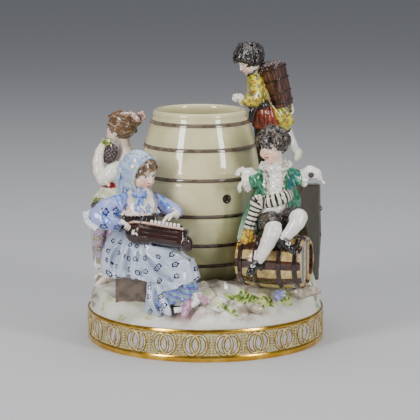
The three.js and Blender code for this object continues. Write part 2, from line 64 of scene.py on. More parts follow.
def add(tree, kind, settings=None, inputs=None):
    """Adds a node: settings are its properties, inputs are values or sockets to link"""
    node = tree.nodes.new(kind)
    for key, value in (settings or {}).items():
        setattr(node, key, value)
    for key, value in (inputs or {}).items():
        if isinstance(value, bpy.types.NodeSocket):
            tree.links.new(value, node.inputs[key])
        else:
            node.inputs[key].default_value = value
    return node


floor_mesh = bpy.data.meshes.new("floor")
floor_mesh.from_pydata([(-6, -4, 0), (6, -4, 0), (6, 8, 0), (-6, 8, 0)], [], [(0, 1, 2, 3)])
floor = bpy.data.objects.new("floor", floor_mesh)
bpy.context.scene.collection.objects.link(floor)
floor_paper = bpy.data.materials.new("matt grey backdrop paper")
floor_paper.use_nodes = True
floor_body = floor_paper.node_tree.nodes["Principled BSDF"]
floor_body.inputs["Base Color"].default_value = linear("#c2c2c4")
floor_body.inputs["Roughness"].default_value = 0.75
floor_mesh.materials.append(floor_paper)


def soft_box(name, place, aim, width, height, power):
    """A rectangular studio lamp turned towards a point"""
    lamp = bpy.data.lights.new(name, "AREA")
    lamp.shape = "RECTANGLE"
    lamp.size = width
    lamp.size_y = height
    lamp.energy = power
    box = bpy.data.objects.new(name, lamp)
    box.location = place
    away = [place[k] - aim[k] for k in range(3)]
    flat = math.hypot(away[0], away[1])
    box.rotation_euler = (math.atan2(flat, away[2]), 0, math.atan2(away[0], -away[1]))
    bpy.context.scene.collection.objects.link(box)


soft_box("left soft box", (-0.85, -0.95, 0.62), (0, 0, 0.12), 0.3, 0.85, 15)
soft_box("right soft box", (0.95, -0.9, 0.62), (0, 0, 0.12), 0.26, 0.85, 12)
soft_box("overhead soft box", (0.0, 0.1, 1.3), (0, 0, 0.1), 1.2, 1.2, 12)
room = bpy.data.worlds.new("grey studio room")
room.use_nodes = True
room.node_tree.nodes["Background"].inputs["Color"].default_value = linear("#8f9298")
room.node_tree.nodes["Background"].inputs["Strength"].default_value = 0.75
bpy.context.scene.world = room


# Plinth. A drum of glazed porcelain, thrown with a foot band and a top band standing proud of
# a frieze. The frieze has a printed beige ground, and both bands are burnished gold.
BASE_R = 88.0
BASE_H = 23.4
BAND_LOW = 4.6
BAND_HIGH = 20.4
BAND_DEPTH = 0.7


def make_piece(name, points, faces, sharp=None):
    """A closed mesh from points in millimetres; faces is an array of quads or a list"""
    mesh = bpy.data.meshes.new(name)
    points = np.asarray(points, float) / 1000
    if isinstance(faces, np.ndarray):
        mesh.vertices.add(len(points))
        mesh.vertices.foreach_set("co", points.astype(np.float32).ravel())
        mesh.loops.add(faces.size)
        mesh.loops.foreach_set("vertex_index", faces.astype(np.int32).ravel())
        mesh.polygons.add(len(faces))
        mesh.polygons.foreach_set("loop_start", np.arange(0, faces.size, faces.shape[1], dtype=np.int32))
        mesh.update(calc_edges=True)
    else:
        mesh.from_pydata(points.tolist(), [], faces)
    mesh.validate()
    mesh.shade_smooth()
    if sharp:
        mesh.set_sharp_from_angle(angle=math.radians(sharp))
    piece = bpy.data.objects.new(name, mesh)
    bpy.context.scene.collection.objects.link(piece)
    return piece


def turned(profile, segments, bump=None):
    """Points and faces of a shape thrown on a wheel; profile is radius, height from low to high.
    It starts and ends on the axis, or closes on itself."""
    points, faces, rows = [], [], []
    closed = profile[0][0] > 1e-6
    for radius, height in profile:
        if radius < 1e-6:
            rows.append([len(points)] * segments)
            points.append((0.0, 0.0, height))
            continue
        rows.append(list(range(len(points), len(points) + segments)))
        for i in range(segments):
            angle = 2 * math.pi * i / segments
            r = radius + (bump(angle, radius, height) if bump else 0)
            points.append((r * math.cos(angle), r * math.sin(angle), height))
    pairs = list(zip(rows, rows[1:])) + ([(rows[-1], rows[0])] if closed else [])
    for low, high in pairs:
        for i in range(segments):
            j = (i + 1) % segments
            face = [low[i], low[j], high[j], high[i]]
            faces.append([f for k, f in enumerate(face) if f != face[k - 1]])
    return np.array(points), faces


def store(piece, name, values):
    """Keeps a number or a vector for every point of a piece, for its material to read"""
    values = np.asarray(values, np.float32)
    kind, field = ("FLOAT", "value") if values.ndim == 1 else ("FLOAT_VECTOR", "vector")
    piece.data.attributes.new(name, kind, "POINT").data.foreach_set(field, values.ravel())


def glaze(name, rough=0.08, ripple=1.0):
    """Fired glaze: a clear coat over the colour, faintly rippled, a little uneven in gloss.
    Returns the node tree and the shader whose Base Color the colour goes to."""
    material = bpy.data.materials.new(name)
    material.use_nodes = True
    tree = material.node_tree
    body = tree.nodes["Principled BSDF"]
    body.inputs["IOR"].default_value = 1.52
    body.inputs["Coat Weight"].default_value = 0.5
    body.inputs["Coat Roughness"].default_value = 0.03
    place = add(tree, "ShaderNodeTexCoord").outputs["Object"]
    patchy = add(tree, "ShaderNodeTexNoise", None, {"Vector": place, "Scale": 160, "Detail": 2})
    gloss = add(tree, "ShaderNodeMapRange", None, {
        "Value": patchy.outputs["Fac"], "From Min": 0.3, "From Max": 0.7,
        "To Min": rough * 0.75, "To Max": rough * 1.5})
    tree.links.new(gloss.outputs["Result"], body.inputs["Roughness"])
    waves = add(tree, "ShaderNodeTexNoise", None, {"Vector": place, "Scale": 330, "Detail": 3})
    bump = add(tree, "ShaderNodeBump", None, {
        "Height": waves.outputs["Fac"], "Strength": 0.35, "Distance": 0.00012 * ripple})
    tree.links.new(bump.outputs["Normal"], body.inputs["Normal"])
    return material, tree, body


def blend(tree, share, low, high):
    """Mixes two colours (hex codes or sockets) by a share"""
    low = linear(low) if isinstance(low, str) else low
    high = linear(high) if isinstance(high, str) else high
    return add(tree, "ShaderNodeMix", {"data_type": "RGBA"}, {0: share, 6: low, 7: high}).outputs[2]


def share_between(tree, value, low, high):
    """0 below low, 1 above high, smooth between"""
    node = add(tree, "ShaderNodeMapRange", {"interpolation_type": "SMOOTHSTEP"}, {
        "Value": value, "From Min": low, "From Max": high})
    return node.outputs["Result"]


def pooled_and_shaded(tree, colour, deep, amount=1.0):
    """Enamel run thin on ridges and pooling in hollows, together with painted shade in the hollows: mixes
    towards deep there
    """
    hollow = add(tree, "ShaderNodeAttribute", {"attribute_name": "hollow"}).outputs["Fac"]
    low = share_between(tree, hollow, 0.02, 0.3)
    thin = add(tree, "ShaderNodeMath", {"operation": "MULTIPLY"}, {0: low, 1: amount}).outputs[0]
    return blend(tree, thin, colour, deep)


def object_noise(tree, size_mm, detail=3.0):
    """Cloudy pattern with patches of about this size"""
    place = add(tree, "ShaderNodeTexCoord").outputs["Object"]
    noise = add(tree, "ShaderNodeTexNoise", None, {
        "Vector": place, "Scale": 1000 / size_mm, "Detail": detail, "Roughness": 0.55})
    return noise.outputs["Fac"]


drum_points, drum_faces = turned([
    (0, 0), (BASE_R - 1.2, 0), (BASE_R - 0.9, 0.3), (BASE_R - BAND_DEPTH, BAND_LOW - 0.6),
    (BASE_R - BAND_DEPTH, BAND_HIGH + 0.6), (BASE_R - 1.0, BASE_H - 0.4),
    (BASE_R - 1.8, BASE_H - 0.1), (0, BASE_H - 0.1)], 192)
plinth_drum = make_piece("plinth_drum", drum_points, drum_faces, 30)
beige, tree, body = glaze("beige frieze ground, printed and glazed on porcelain", 0.16)
grains = add(tree, "ShaderNodeTexVoronoi", None, {
    "Vector": add(tree, "ShaderNodeTexCoord").outputs["Object"], "Scale": 1000 / 1.1})
speck = share_between(tree, grains.outputs["Distance"], 0.34, 0.56)
colour = blend(tree, speck, "#8f7436", "#bdb07f")
colour = blend(tree, share_between(tree, object_noise(tree, 9), 0.45, 0.65), colour, "#adb08c")
tree.links.new(colour, body.inputs["Base Color"])
plinth_drum.data.materials.append(beige)

band_points, band_faces = turned([
    (BASE_R - 2.0, 0.0), (BASE_R - 0.5, 0.0), (BASE_R, 0.7), (BASE_R, BAND_LOW - 0.5),
    (BASE_R - 0.4, BAND_LOW), (BASE_R - 1.2, BAND_LOW + 0.1), (BASE_R - 2.0, BAND_LOW)], 192)
foot_band = make_piece("plinth_foot_band", band_points, band_faces, 40)
rim_points, rim_faces = turned([
    (BASE_R - 2.2, BAND_HIGH + 0.4), (BASE_R - 0.5, BAND_HIGH + 0.1), (BASE_R, BAND_HIGH + 0.6),
    (BASE_R, BASE_H - 0.8), (BASE_R - 0.5, BASE_H - 0.1), (BASE_R - 1.3, BASE_H + 0.05),
    (BASE_R - 2.2, BASE_H - 0.5)], 192)
rim_band = make_piece("plinth_rim_band", rim_points, rim_faces, 40)
# Burnished gold, painted and fired on the glaze: a warm metal, brushed thin, worn in patches
gold, tree, body = glaze("burnished gold, fired on glaze", 0.17, 0.35)
body.inputs["Metallic"].default_value = 1.0
body.inputs["Coat Weight"].default_value = 0.2
body.inputs["IOR"].default_value = 1.5
worn = share_between(tree, object_noise(tree, 11, 3), 0.4, 0.66)
tree.links.new(blend(tree, worn, "#d09f2f", "#edc35a"), body.inputs["Base Color"])
for band in (foot_band, rim_band):
    band.data.materials.append(gold)
for piece in (plinth_drum, foot_band, rim_band):
    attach(piece, "root")
    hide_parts("porcelain_group")

# Frieze rings. Pairs of interlinked upright oval rings run round the drum in low relief, pressed
# from a mould and lined with gold, with lilac and pale blue enamel inside and beads between.
PAIRS = 24
FIRST_PAIR = -4.6
RING_W = 11.4
RING_H = 14.4
RING_LINE = 0.62
LINK = 5.0


def repeat_round(name, count, radius, height, start, make_one, material):
    """Geometry Nodes: copies of one form set round the drum, facing outwards"""
    tree = bpy.data.node_groups.new(name, "GeometryNodeTree")
    tree.interface.new_socket("Geometry", in_out="OUTPUT", socket_type="NodeSocketGeometry")
    sizes = {"Count": ("NodeSocketInt", count), "Radius": ("NodeSocketFloat", radius),
             "Height": ("NodeSocketFloat", height), "Start": ("NodeSocketFloat", start)}
    for label, (kind, value) in sizes.items():
        tree.interface.new_socket(label, in_out="INPUT", socket_type=kind).default_value = value
    given = add(tree, "NodeGroupInput").outputs
    circle = add(tree, "GeometryNodeMeshCircle", None,
                 {"Vertices": given["Count"], "Radius": given["Radius"]})
    lift = add(tree, "ShaderNodeCombineXYZ", None, {"Z": given["Height"]}).outputs[0]
    spin = add(tree, "ShaderNodeCombineXYZ", None, {"Z": given["Start"]}).outputs[0]
    placed = add(tree, "GeometryNodeTransform", None, {
        "Geometry": circle.outputs[0], "Translation": lift, "Rotation": spin}).outputs[0]
    where = add(tree, "GeometryNodeInputPosition").outputs[0]
    flat = add(tree, "ShaderNodeVectorMath", {"operation": "MULTIPLY"}, {0: where, 1: (1, 1, 0)}).outputs[0]
    facing = add(tree, "FunctionNodeAlignRotationToVector", {"axis": "X"}, {"Vector": flat}).outputs[0]
    copies = add(tree, "GeometryNodeInstanceOnPoints", None, {
        "Points": placed, "Instance": make_one(tree), "Rotation": facing}).outputs[0]
    real = add(tree, "GeometryNodeRealizeInstances", None, {"Geometry": copies}).outputs[0]
    dressed = add(tree, "GeometryNodeSetMaterial", None,
                  {"Geometry": real, "Material": material}).outputs[0]
    add(tree, "NodeGroupOutput", None, {"Geometry": dressed})
    holder = bpy.data.objects.new(name, bpy.data.meshes.new(name + "_seed"))
    bpy.context.scene.collection.objects.link(holder)
    modifier = holder.modifiers.new("repeat", "NODES")
    modifier.node_group = tree
    shown = holder.evaluated_get(bpy.context.evaluated_depsgraph_get())
    holder.data = bpy.data.meshes.new_from_object(shown)
    holder.modifiers.clear()
    holder.data.name = name
    holder.data.materials.clear()
    holder.data.materials.append(material)
    return holder


def oval(tree, width, height, line, sides=8):
    """One upright oval wire ring in the plane facing +X, in metres"""
    path = add(tree, "GeometryNodeCurvePrimitiveCircle", None, {"Resolution": 30, "Radius": 0.5}).outputs[0]
    upright = add(tree, "GeometryNodeTransform", None, {
        "Geometry": path, "Rotation": (math.pi / 2, 0, math.pi / 2)}).outputs[0]
    sized = add(tree, "GeometryNodeTransform", None, {
        "Geometry": upright, "Scale": (1, width / 1000, height / 1000)}).outputs[0]
    wire = add(tree, "GeometryNodeCurvePrimitiveCircle", None,
               {"Resolution": sides, "Radius": line / 1000}).outputs[0]
    return add(tree, "GeometryNodeCurveToMesh", None, {"Curve": sized, "Profile Curve": wire}).outputs[0]


def oval_plate(tree):
    """The enamelled field inside a ring: a low oval cushion"""
    ball = add(tree, "GeometryNodeMeshUVSphere", None,
               {"Segments": 20, "Rings": 10, "Radius": 0.5}).outputs[0]
    size = (0.0005, (RING_W - 1.2) / 1000, (RING_H - 1.2) / 1000)
    return add(tree, "GeometryNodeTransform", None, {"Geometry": ball, "Scale": size}).outputs[0]


def beads(tree):
    """A short upright row of seven small beads between two pairs of rings"""
    line = add(tree, "GeometryNodeMeshLine", None, {
        "Count": 7, "Start Location": (0, 0, -0.0060), "Offset": (0, 0, 0.0020)}).outputs[0]
    bead = add(tree, "GeometryNodeMeshIcoSphere", None, {"Radius": 0.00058, "Subdivisions": 1}).outputs[0]
    return add(tree, "GeometryNodeInstanceOnPoints", None, {"Points": line, "Instance": bead}).outputs[0]


def mottled(name, rough, size_mm, light, dark, deep=None, between=None, detail=3.0, amount=1.0, ripple=1.0):
    """Enamel of two tones clouded into each other, with a third in the hollows for enamel pooling and
    painted shade
    """
    material, tree, body = glaze(name, rough, ripple)
    cloud = object_noise(tree, size_mm, detail)
    if between:
        cloud = share_between(tree, cloud, *between)
    colour = blend(tree, cloud, light, dark)
    if deep:
        colour = pooled_and_shaded(tree, colour, deep, amount)
    tree.links.new(colour, body.inputs["Base Color"])
    return material

ring_gold, tree, body = glaze("dull matt gold lining on the frieze", 0.34, 0.6)
body.inputs["Metallic"].default_value = 0.4
body.inputs["IOR"].default_value = 1.5
worn = share_between(tree, object_noise(tree, 4, 5), 0.4, 0.6)
tree.links.new(blend(tree, worn, "#b99a52", "#e6d08c"), body.inputs["Base Color"])
seal = mottled("umber outline painted round the rings", 0.2, 3, "#5c4a28", "#85703f")
lilac, tree, body = glaze("lilac and pale blue enamel inside the rings", 0.12)
colour = blend(tree, share_between(tree, object_noise(tree, 7), 0.42, 0.58), "#aab4a6", "#bcadbe")
colour = blend(tree, share_between(tree, object_noise(tree, 2.2), 0.5, 0.6), colour, "#ab9a66")
tree.links.new(colour, body.inputs["Base Color"])
middle = (BAND_LOW + BAND_HIGH) / 2000
face = (BASE_R - BAND_DEPTH) / 1000
front = math.radians(-90 + FIRST_PAIR)
shift = LINK / 2 / BASE_R
frieze = []
for side, sign in (("left", -1), ("right", 1)):
    turn = front + sign * shift
    depth = face + (0.00015 if sign > 0 else 0.0001)
    frieze.append(repeat_round("frieze_rings_" + side, PAIRS, depth, middle, turn,
                               lambda tree: oval(tree, RING_W, RING_H, RING_LINE), ring_gold))
    for which, off in (("inner", -1.9), ("outer", 1.7)):
        frieze.append(repeat_round(f"frieze_{which}_line_{side}", PAIRS, depth, middle, turn,
                                   lambda tree: oval(tree, RING_W + off, RING_H + off, 0.34, 5), seal))
    frieze.append(repeat_round("frieze_enamel_" + side, PAIRS, face, middle, turn, oval_plate, lilac))
half_step = math.pi / PAIRS
for k, away in enumerate((-0.03, -0.015, 0.0, 0.015, 0.03)):
    frieze.append(repeat_round(f"frieze_beads_{k + 1}", PAIRS, face, middle, front + half_step + away,
                               beads, seal if k % 2 else ring_gold))
for piece in frieze:
    piece.data.shade_smooth()
    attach(piece, "root")
    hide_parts("porcelain_group")

# Mound. Built up by hand in clay on the drum and glazed white, with slabs of stone before the
# barrel's foot. Grey-brown is washed into the seams and grass is painted on in greens.
GROUND = 45.0
GROUND_RINGS = 100
GROUND_SPOKES = 340
HOLLOW = (-46, -62)
HOLLOW_DROP = 12
HOLLOW_SPREAD = 28
GRASS = [(20, -50, 7), (28, -48, 9), (36, -51, 8), (45, -50, 6), (53, -46, 5), (12, -61, 5), (18, -64, 6),
         (60, -44, 5), (72, -31, 6), (-70, -38, 8), (-58, -58, 7), (-42, -66, 6), (80, -20, 8),
         (-74, 22, 13), (-20, 62, 15), (30, 66, 14), (-50, 52, 14), (70, 40, 12), (0, 74, 10)]
SLABS = [(-14, -58), (0, -50), (14, -44), (-6, -40), (8, -58), (24, -62), (22, -34), (36, -50),
         (-22, -66), (2, -70), (50, -56), (-34, -70), (16, -74), (60, -50), (34, -70), (-2, -30)]


def smooth(t):
    t = np.clip(t, 0, 1)
    return t * t * (3 - 2 * t)


def ground_height(x, y):
    r = np.hypot(x, y)
    fall = np.exp(-((x - HOLLOW[0]) / HOLLOW_SPREAD) ** 2 - ((y - HOLLOW[1]) / HOLLOW_SPREAD) ** 2)
    plateau = GROUND - HOLLOW_DROP * fall + 3 * smooth((x - 55) / 20) - 5 * smooth((-x - 48) / 18)
    facing = np.maximum(0, -y / np.maximum(r, 1e-6))
    run = 7 + (46 - 34 * smooth((-x - 12) / 36)) * smooth((facing - 0.35) / 0.65)
    return BASE_H + (plateau - BASE_H) * smooth((BASE_R - 1.6 - r) / run) ** 0.8


def ripple(x, y, z=0.0):
    """Gentle uneven surface from crossed waves of unlike lengths"""
    return (np.sin(x / 5.1 + 1.3 * np.sin(y / 7.7)) + np.sin(y / 4.3 + 1.7 * np.sin(x / 6.9) + z / 5)
            + 0.6 * np.sin(x / 2.3 + y / 2.9) + 0.5 * np.sin(y / 1.9 - x / 2.6 + 2)) / 3


ring_radii = np.concatenate([[BASE_R - 1.7], BASE_R - 1.7 - (BASE_R - 1.7) * np.linspace(
    0.002, 0.999, GROUND_RINGS) ** 1.35])
angle = np.linspace(0, 2 * math.pi, GROUND_SPOKES, endpoint=False)
gx = np.outer(ring_radii, np.cos(angle))
gy = np.outer(ring_radii, np.sin(angle))
inside = smooth((BASE_R - 2.5 - np.hypot(gx, gy)) / 12)
gz = ground_height(gx, gy) + 0.55 * ripple(gx, gy) * inside
away = np.stack([np.hypot(gx - sx, gy - sy) for sx, sy in SLABS])
distances = np.sort(away, axis=0)
seam = 1 - smooth((distances[1] - distances[0] - 1.6 * ripple(gx * 1.3, gy * 1.3)) / 3.6)
paving = smooth((40 - np.hypot((gx - 8) * 0.7, gy + 44)) / 18) * inside
which = np.argmin(away, axis=0)
slab_x, slab_y = np.array(SLABS, float).T
lean = 0.1 * (np.cos(which * 1.7) * (gx - slab_x[which]) + np.sin(which * 1.7) * (gy - slab_y[which]))
gz = gz + paving * (0.9 * np.sin(which * 2.3) + lean - 0.8 * seam)
grass = np.zeros_like(gx)
for px, py, size in GRASS:
    streak = np.hypot((gx - px) + 0.5 * (gy - py), (gy - py) * 1.4)
    worn = streak + 2.2 * ripple(gx * 2.2, gy * 1.3) - size * 0.55
    grass = np.maximum(grass, 1 - smooth(worn / (size * 0.6)))
grass = grass * (0.42 + 0.58 * smooth((gx + 36) / 30 + (gy > 0)))
gz = gz + 0.5 * grass * np.sin(gx * 2.4 + gy * 1.1) * inside
rows = len(ring_radii)
ground_points = np.stack([gx.ravel(), gy.ravel(), gz.ravel()], axis=1)
ground_faces = []
for r in range(rows - 1):
    for i in range(GROUND_SPOKES):
        j = (i + 1) % GROUND_SPOKES
        ground_faces.append([r * GROUND_SPOKES + i, r * GROUND_SPOKES + j,
                             (r + 1) * GROUND_SPOKES + j, (r + 1) * GROUND_SPOKES + i])
top = len(ground_points)
under = [(BASE_R - 1.7) * np.cos(angle), (BASE_R - 1.7) * np.sin(angle),
         np.full(GROUND_SPOKES, BASE_H - 1.5)]
ground_points = np.concatenate([ground_points, [[0, 0, GROUND]], np.stack(under, axis=1),
                                [[0, 0, BASE_H - 1.5]]])
for i in range(GROUND_SPOKES):
    j = (i + 1) % GROUND_SPOKES
    ground_faces.append([(rows - 1) * GROUND_SPOKES + i, (rows - 1) * GROUND_SPOKES + j, top])
    ground_faces.append([top + 1 + i, top + 1 + j, j, i])
    ground_faces.append([top + 1 + j, top + 1 + i, top + 1 + GROUND_SPOKES])
mound = make_piece("mound", ground_points, ground_faces)
blank = np.zeros(GROUND_SPOKES + 2)
# Painted shade: masks for brown shade round the barrel's foot and under the keg, and a pinkish shadow by
# the girl's hem
barrel_foot_shade = 1 - smooth((np.hypot(gx + 4, gy - 10) - 31) / 9)
hem = np.exp(-((gx + 14) / 17) ** 2 - ((gy + 69) / 7) ** 2)
keg_shadow = np.exp(-((gx - 48) / 22) ** 2 - ((gy + 40) / 16) ** 2)
shade = np.maximum(barrel_foot_shade, 0.8 * keg_shadow)
for name, values in (("grass", grass), ("seam", seam * paving), ("paving", paving), ("shade", shade),
                     ("hem", hem)):
    store(mound, name, np.concatenate([values.ravel(), blank]))
# White glaze with thin washes: cool grey and lilac over the slabs, brown in the seams, grass in
# short strokes of yellow green and dark green. Grey-brown painted shade round the barrel's foot and under
# the keg, and a pinkish painted shadow beside the seated girl's hem
turf, tree, body = glaze("white glazed porcelain ground with painted grass and stone", 0.1, 1.6)
white = blend(tree, share_between(tree, object_noise(tree, 18), 0.48, 0.75), "#e0ddd1", "#c3bcb0")
paved = add(tree, "ShaderNodeAttribute", {"attribute_name": "paving"}).outputs["Fac"]
cloud = share_between(tree, object_noise(tree, 9, 5), 0.38, 0.66)
stone_share = add(tree, "ShaderNodeMath", {"operation": "MULTIPLY"}, {0: paved, 1: cloud}).outputs[0]
colour = blend(tree, stone_share, white, "#9a8a78")
moss = share_between(tree, object_noise(tree, 24, 4), 0.54, 0.72)
colour = blend(tree, moss, colour, "#d3d7a4")
seams = add(tree, "ShaderNodeAttribute", {"attribute_name": "seam"}).outputs["Fac"]
colour = blend(tree, share_between(tree, seams, 0.3, 1.5), colour, "#75685a")
# Painted shade and shadow: brown round the barrel's foot and under the keg, pinkish beside the hem
for name, paint, low, high in (("shade", "#6e5d49", 0.15, 1.2), ("hem", "#b59c94", 0.1, 1.2)):
    dim = add(tree, "ShaderNodeAttribute", {"attribute_name": name}).outputs["Fac"]
    broken = add(tree, "ShaderNodeMath", {"operation": "MULTIPLY_ADD"}, {
        0: object_noise(tree, 10, 4), 1: 0.9, 2: -0.45}).outputs[0]
    dim = add(tree, "ShaderNodeMath", {"operation": "ADD"}, {0: dim, 1: broken}).outputs[0]
    colour = blend(tree, share_between(tree, dim, low, high), colour, paint)
turf_share = add(tree, "ShaderNodeAttribute", {"attribute_name": "grass"}).outputs["Fac"]
colour = blend(tree, share_between(tree, turf_share, 0.05, 0.85), colour, "#cbd18f")
place = add(tree, "ShaderNodeTexCoord").outputs["Object"]
for turn, paint, other in ((0.5, "#8ba04a", "#b2bd68"), (-0.6, "#5c7a36", "#83993f"),
                           (1.2, "#47602c", "#6d8238")):
    laid = add(tree, "ShaderNodeMapping", {"vector_type": "TEXTURE"}, {
        "Vector": place, "Rotation": (0, 0, turn), "Scale": (0.0135, 0.0029, 0.006)}).outputs[0]
    leaves = add(tree, "ShaderNodeTexVoronoi", None, {"Vector": laid, "Scale": 1.0, "Randomness": 0.8})
    stroke = share_between(tree, leaves.outputs["Distance"], 0.46, 0.34)
    patch = add(tree, "ShaderNodeMath", {"operation": "MULTIPLY"}, {
        0: stroke, 1: share_between(tree, turf_share, 0.3, 0.62)}).outputs[0]
    leaf = blend(tree, share_between(tree, object_noise(tree, 3), 0.45, 0.6), paint, other)
    colour = blend(tree, patch, colour, leaf)
tree.links.new(colour, body.inputs["Base Color"])
mound.data.materials.append(turf)
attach(mound, "root")
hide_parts("porcelain_group")

# Barrel. Thrown hollow with a 4 mm wall, bulged like coopered staves, with a rolled lip and six
# raised hoops painted grey-brown. Fine turned lines run beside the middle hoops.
BARREL_X = -4.0
BARREL_Y = 10.0
BARREL_RIM = 168.4
BARREL_FOOT = 43.0
BARREL_FLOOR = 52.0
BARREL_WALL = 4.0
HOOPS = [160, 142.5, 121, 94.6, 72.6, 56.8]
HOOP_W = 2.9
HOOP_T = 0.7
BUNG_TURN = math.radians(-64.5)
BUNG_Z = 107.5


def barrel_radius(z):
    return 45.1 - 0.00327 * (z - 108) ** 2


def joined(parts):
    """Several thrown forms as one set of points and faces"""
    points, faces = [], []
    for theirs, their_faces in parts:
        start = sum(len(p) for p in points)
        points.append(theirs)
        faces += [[f + start for f in face] for face in their_faces]
    return np.concatenate(points), faces

profile = [(0, BARREL_FOOT)]
for z in np.linspace(BARREL_FOOT, BARREL_RIM - 4, 110):
    line = sum(0.35 * math.exp(-((z - hoop - off) / 0.45) ** 2) for hoop in HOOPS[2:4] for off in (4.6,
        -4.6))
    profile.append((barrel_radius(z) + line, z))
lip = [(35.2, 165.6), (34.9, 166.8), (34.2, 167.8), (33.2, 168.35), (32.2, 168.4), (31.2, 168.0),
       (30.6, 167.2), (30.4, 166.0), (30.4, 164.0)]
profile += lip
for z in np.linspace(158, BARREL_FLOOR + 3, 28):
    profile.append((barrel_radius(z) - BARREL_WALL, z))
profile += [(barrel_radius(BARREL_FLOOR) - BARREL_WALL - 1, BARREL_FLOOR + 0.6),
            (barrel_radius(BARREL_FLOOR) - BARREL_WALL - 3, BARREL_FLOOR), (0, BARREL_FLOOR)]
points, faces = turned(profile, 128)
barrel = make_piece("barrel", points + [BARREL_X, BARREL_Y, 0], faces, 50)
cream, tree, body = glaze("cream glaze with an olive tint, on thrown porcelain", 0.05, 0.5)
# Painted shade: the glaze goes darker olive towards the barrel's foot and lighter cream above
height = add(tree, "ShaderNodeSeparateXYZ", None, {
    "Vector": add(tree, "ShaderNodeTexCoord").outputs["Object"]}).outputs["Z"]
colour = blend(tree, share_between(tree, height, 0.05, 0.12), "#8e8a60", "#d8cfa2")
colour = blend(tree, share_between(tree, object_noise(tree, 26), 0.4, 0.7), colour, "#c3bc8a")
tree.links.new(colour, body.inputs["Base Color"])
barrel.data.materials.append(cream)
rings = []
for z in HOOPS:
    low, high = z - HOOP_W / 2, z + HOOP_W / 2
    section = [(barrel_radius(low) - 0.6, low), (barrel_radius(low) + 0.05, low),
               (barrel_radius(low) + HOOP_T * 0.8, low + 0.3), (barrel_radius(z) + HOOP_T, z),
               (barrel_radius(high) + HOOP_T * 0.8, high - 0.3), (barrel_radius(high) + 0.05, high),
               (barrel_radius(high) - 0.6, high)]
    points, faces = turned(section, 128)
    rings.append((points + [BARREL_X, BARREL_Y, 0], faces))
hoops = make_piece("barrel_hoops", *joined(rings), 50)
iron, tree, body = glaze("grey-brown enamel on the hoops, dark along the lower edge", 0.12)
height = add(tree, "ShaderNodeSeparateXYZ", None, {
    "Vector": add(tree, "ShaderNodeTexCoord").outputs["Object"]}).outputs["Z"]
# Painted shade: the hoops are darker where they face down and lighter where they face up
up = add(tree, "ShaderNodeNewGeometry").outputs["Normal"]
slope = add(tree, "ShaderNodeSeparateXYZ", None, {"Vector": up}).outputs["Z"]
colour = blend(tree, share_between(tree, slope, -0.3, 0.25), "#2a2018", "#6f6252")
colour = blend(tree, share_between(tree, object_noise(tree, 6, 4), 0.4, 0.66), colour, "#54463a")
tree.links.new(colour, body.inputs["Base Color"])
hoops.data.materials.append(iron)
points, faces = turned([(0, -0.5), (3.3, -0.5), (3.3, 0.25), (2.7, 0.45), (2.3, 0.1), (1.2, 0.0), (0, 0.0)],
                       28)
across = np.array([-math.sin(BUNG_TURN), math.cos(BUNG_TURN), 0])
outward = np.array([math.cos(BUNG_TURN), math.sin(BUNG_TURN), 0])
points = (points[:, :1] * across + points[:, 1:2] * [0, 0, 1] + points[:, 2:3] * outward
          + outward * barrel_radius(BUNG_Z) + [BARREL_X, BARREL_Y, BUNG_Z])
bung = make_piece("barrel_bung", points, faces, 40)
pitch = mottled("near-black brown enamel in the bung hole", 0.14, 2, "#15110d", "#3a2a1c")
bung.data.materials.append(pitch)
for piece in (barrel, hoops, bung):
    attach(piece, "root")
    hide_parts("porcelain_group")

# Keg. A small barrel on its side, the boy's seat: cream and brown staves by turns with a fine
# groove at each joint, sunk heads of upright boards, and four dark hoops.
KEG_AT = np.array([50.0, -38.0, 64.0])
KEG_TURN = math.radians(-19)
KEG_LENGTH = 49.0
KEG_END = 18.0
KEG_BELLY = 20.6
KEG_HOOPS = (-20.5, -9, 9, 20.5)
KEG_STAVES = 18


def keg_radius(s):
    return KEG_END + (KEG_BELLY - KEG_END) * (1 - (2 * s / KEG_LENGTH) ** 2)


def lay_down(points):
    """Turns a thrown form on its side and sets it where the keg lies"""
    x, y, z = points[:, 2], points[:, 1], -points[:, 0]
    c, s = math.cos(KEG_TURN), math.sin(KEG_TURN)
    return np.stack([x * c - y * s, x * s + y * c, z], axis=1) + KEG_AT


def stave_groove(angle, radius, height):
    if radius < KEG_END - 0.5:
        return 0
    part = (angle * KEG_STAVES / (2 * math.pi)) % 1
    return -0.28 * math.exp(-((min(part, 1 - part)) / 0.05) ** 2)


half = KEG_LENGTH / 2
profile = [(0, -half + 1.6), (KEG_END - 2.2, -half + 1.6), (KEG_END - 2.0, -half + 0.2),
           (KEG_END - 1.6, -half), (KEG_END - 0.4, -half), (KEG_END, -half + 0.4)]
profile += [(keg_radius(s), s) for s in np.linspace(-half + 1.2, half - 1.2, 30)]
profile += [(KEG_END, half - 0.4), (KEG_END - 0.4, half), (KEG_END - 1.6, half),
            (KEG_END - 2.0, half - 0.2), (KEG_END - 2.2, half - 1.6), (0, half - 1.6)]
points, faces = turned(profile, 144, stave_groove)
around = (np.arctan2(points[:, 1], points[:, 0]) / (2 * math.pi) * KEG_STAVES) % KEG_STAVES
keg = make_piece("keg", lay_down(points), faces, 35)
radius = np.hypot(points[:, 0], points[:, 1])
store(keg, "stave", np.stack([np.cos(around / KEG_STAVES * 2 * math.pi),
                              np.sin(around / KEG_STAVES * 2 * math.pi),
                              points[:, 2]], axis=1))
store(keg, "flat", np.stack([points[:, 1], points[:, 0], radius], axis=1))
staves, tree, body = glaze("cream and brown enamel staves, brushed along the grain", 0.08)
ring = add(tree, "ShaderNodeSeparateXYZ", None, {
    "Vector": add(tree, "ShaderNodeAttribute", {"attribute_name": "stave"}).outputs["Vector"]})
angle_node = add(tree, "ShaderNodeMath", {"operation": "ARCTAN2"},
                 {0: ring.outputs["Y"], 1: ring.outputs["X"]})
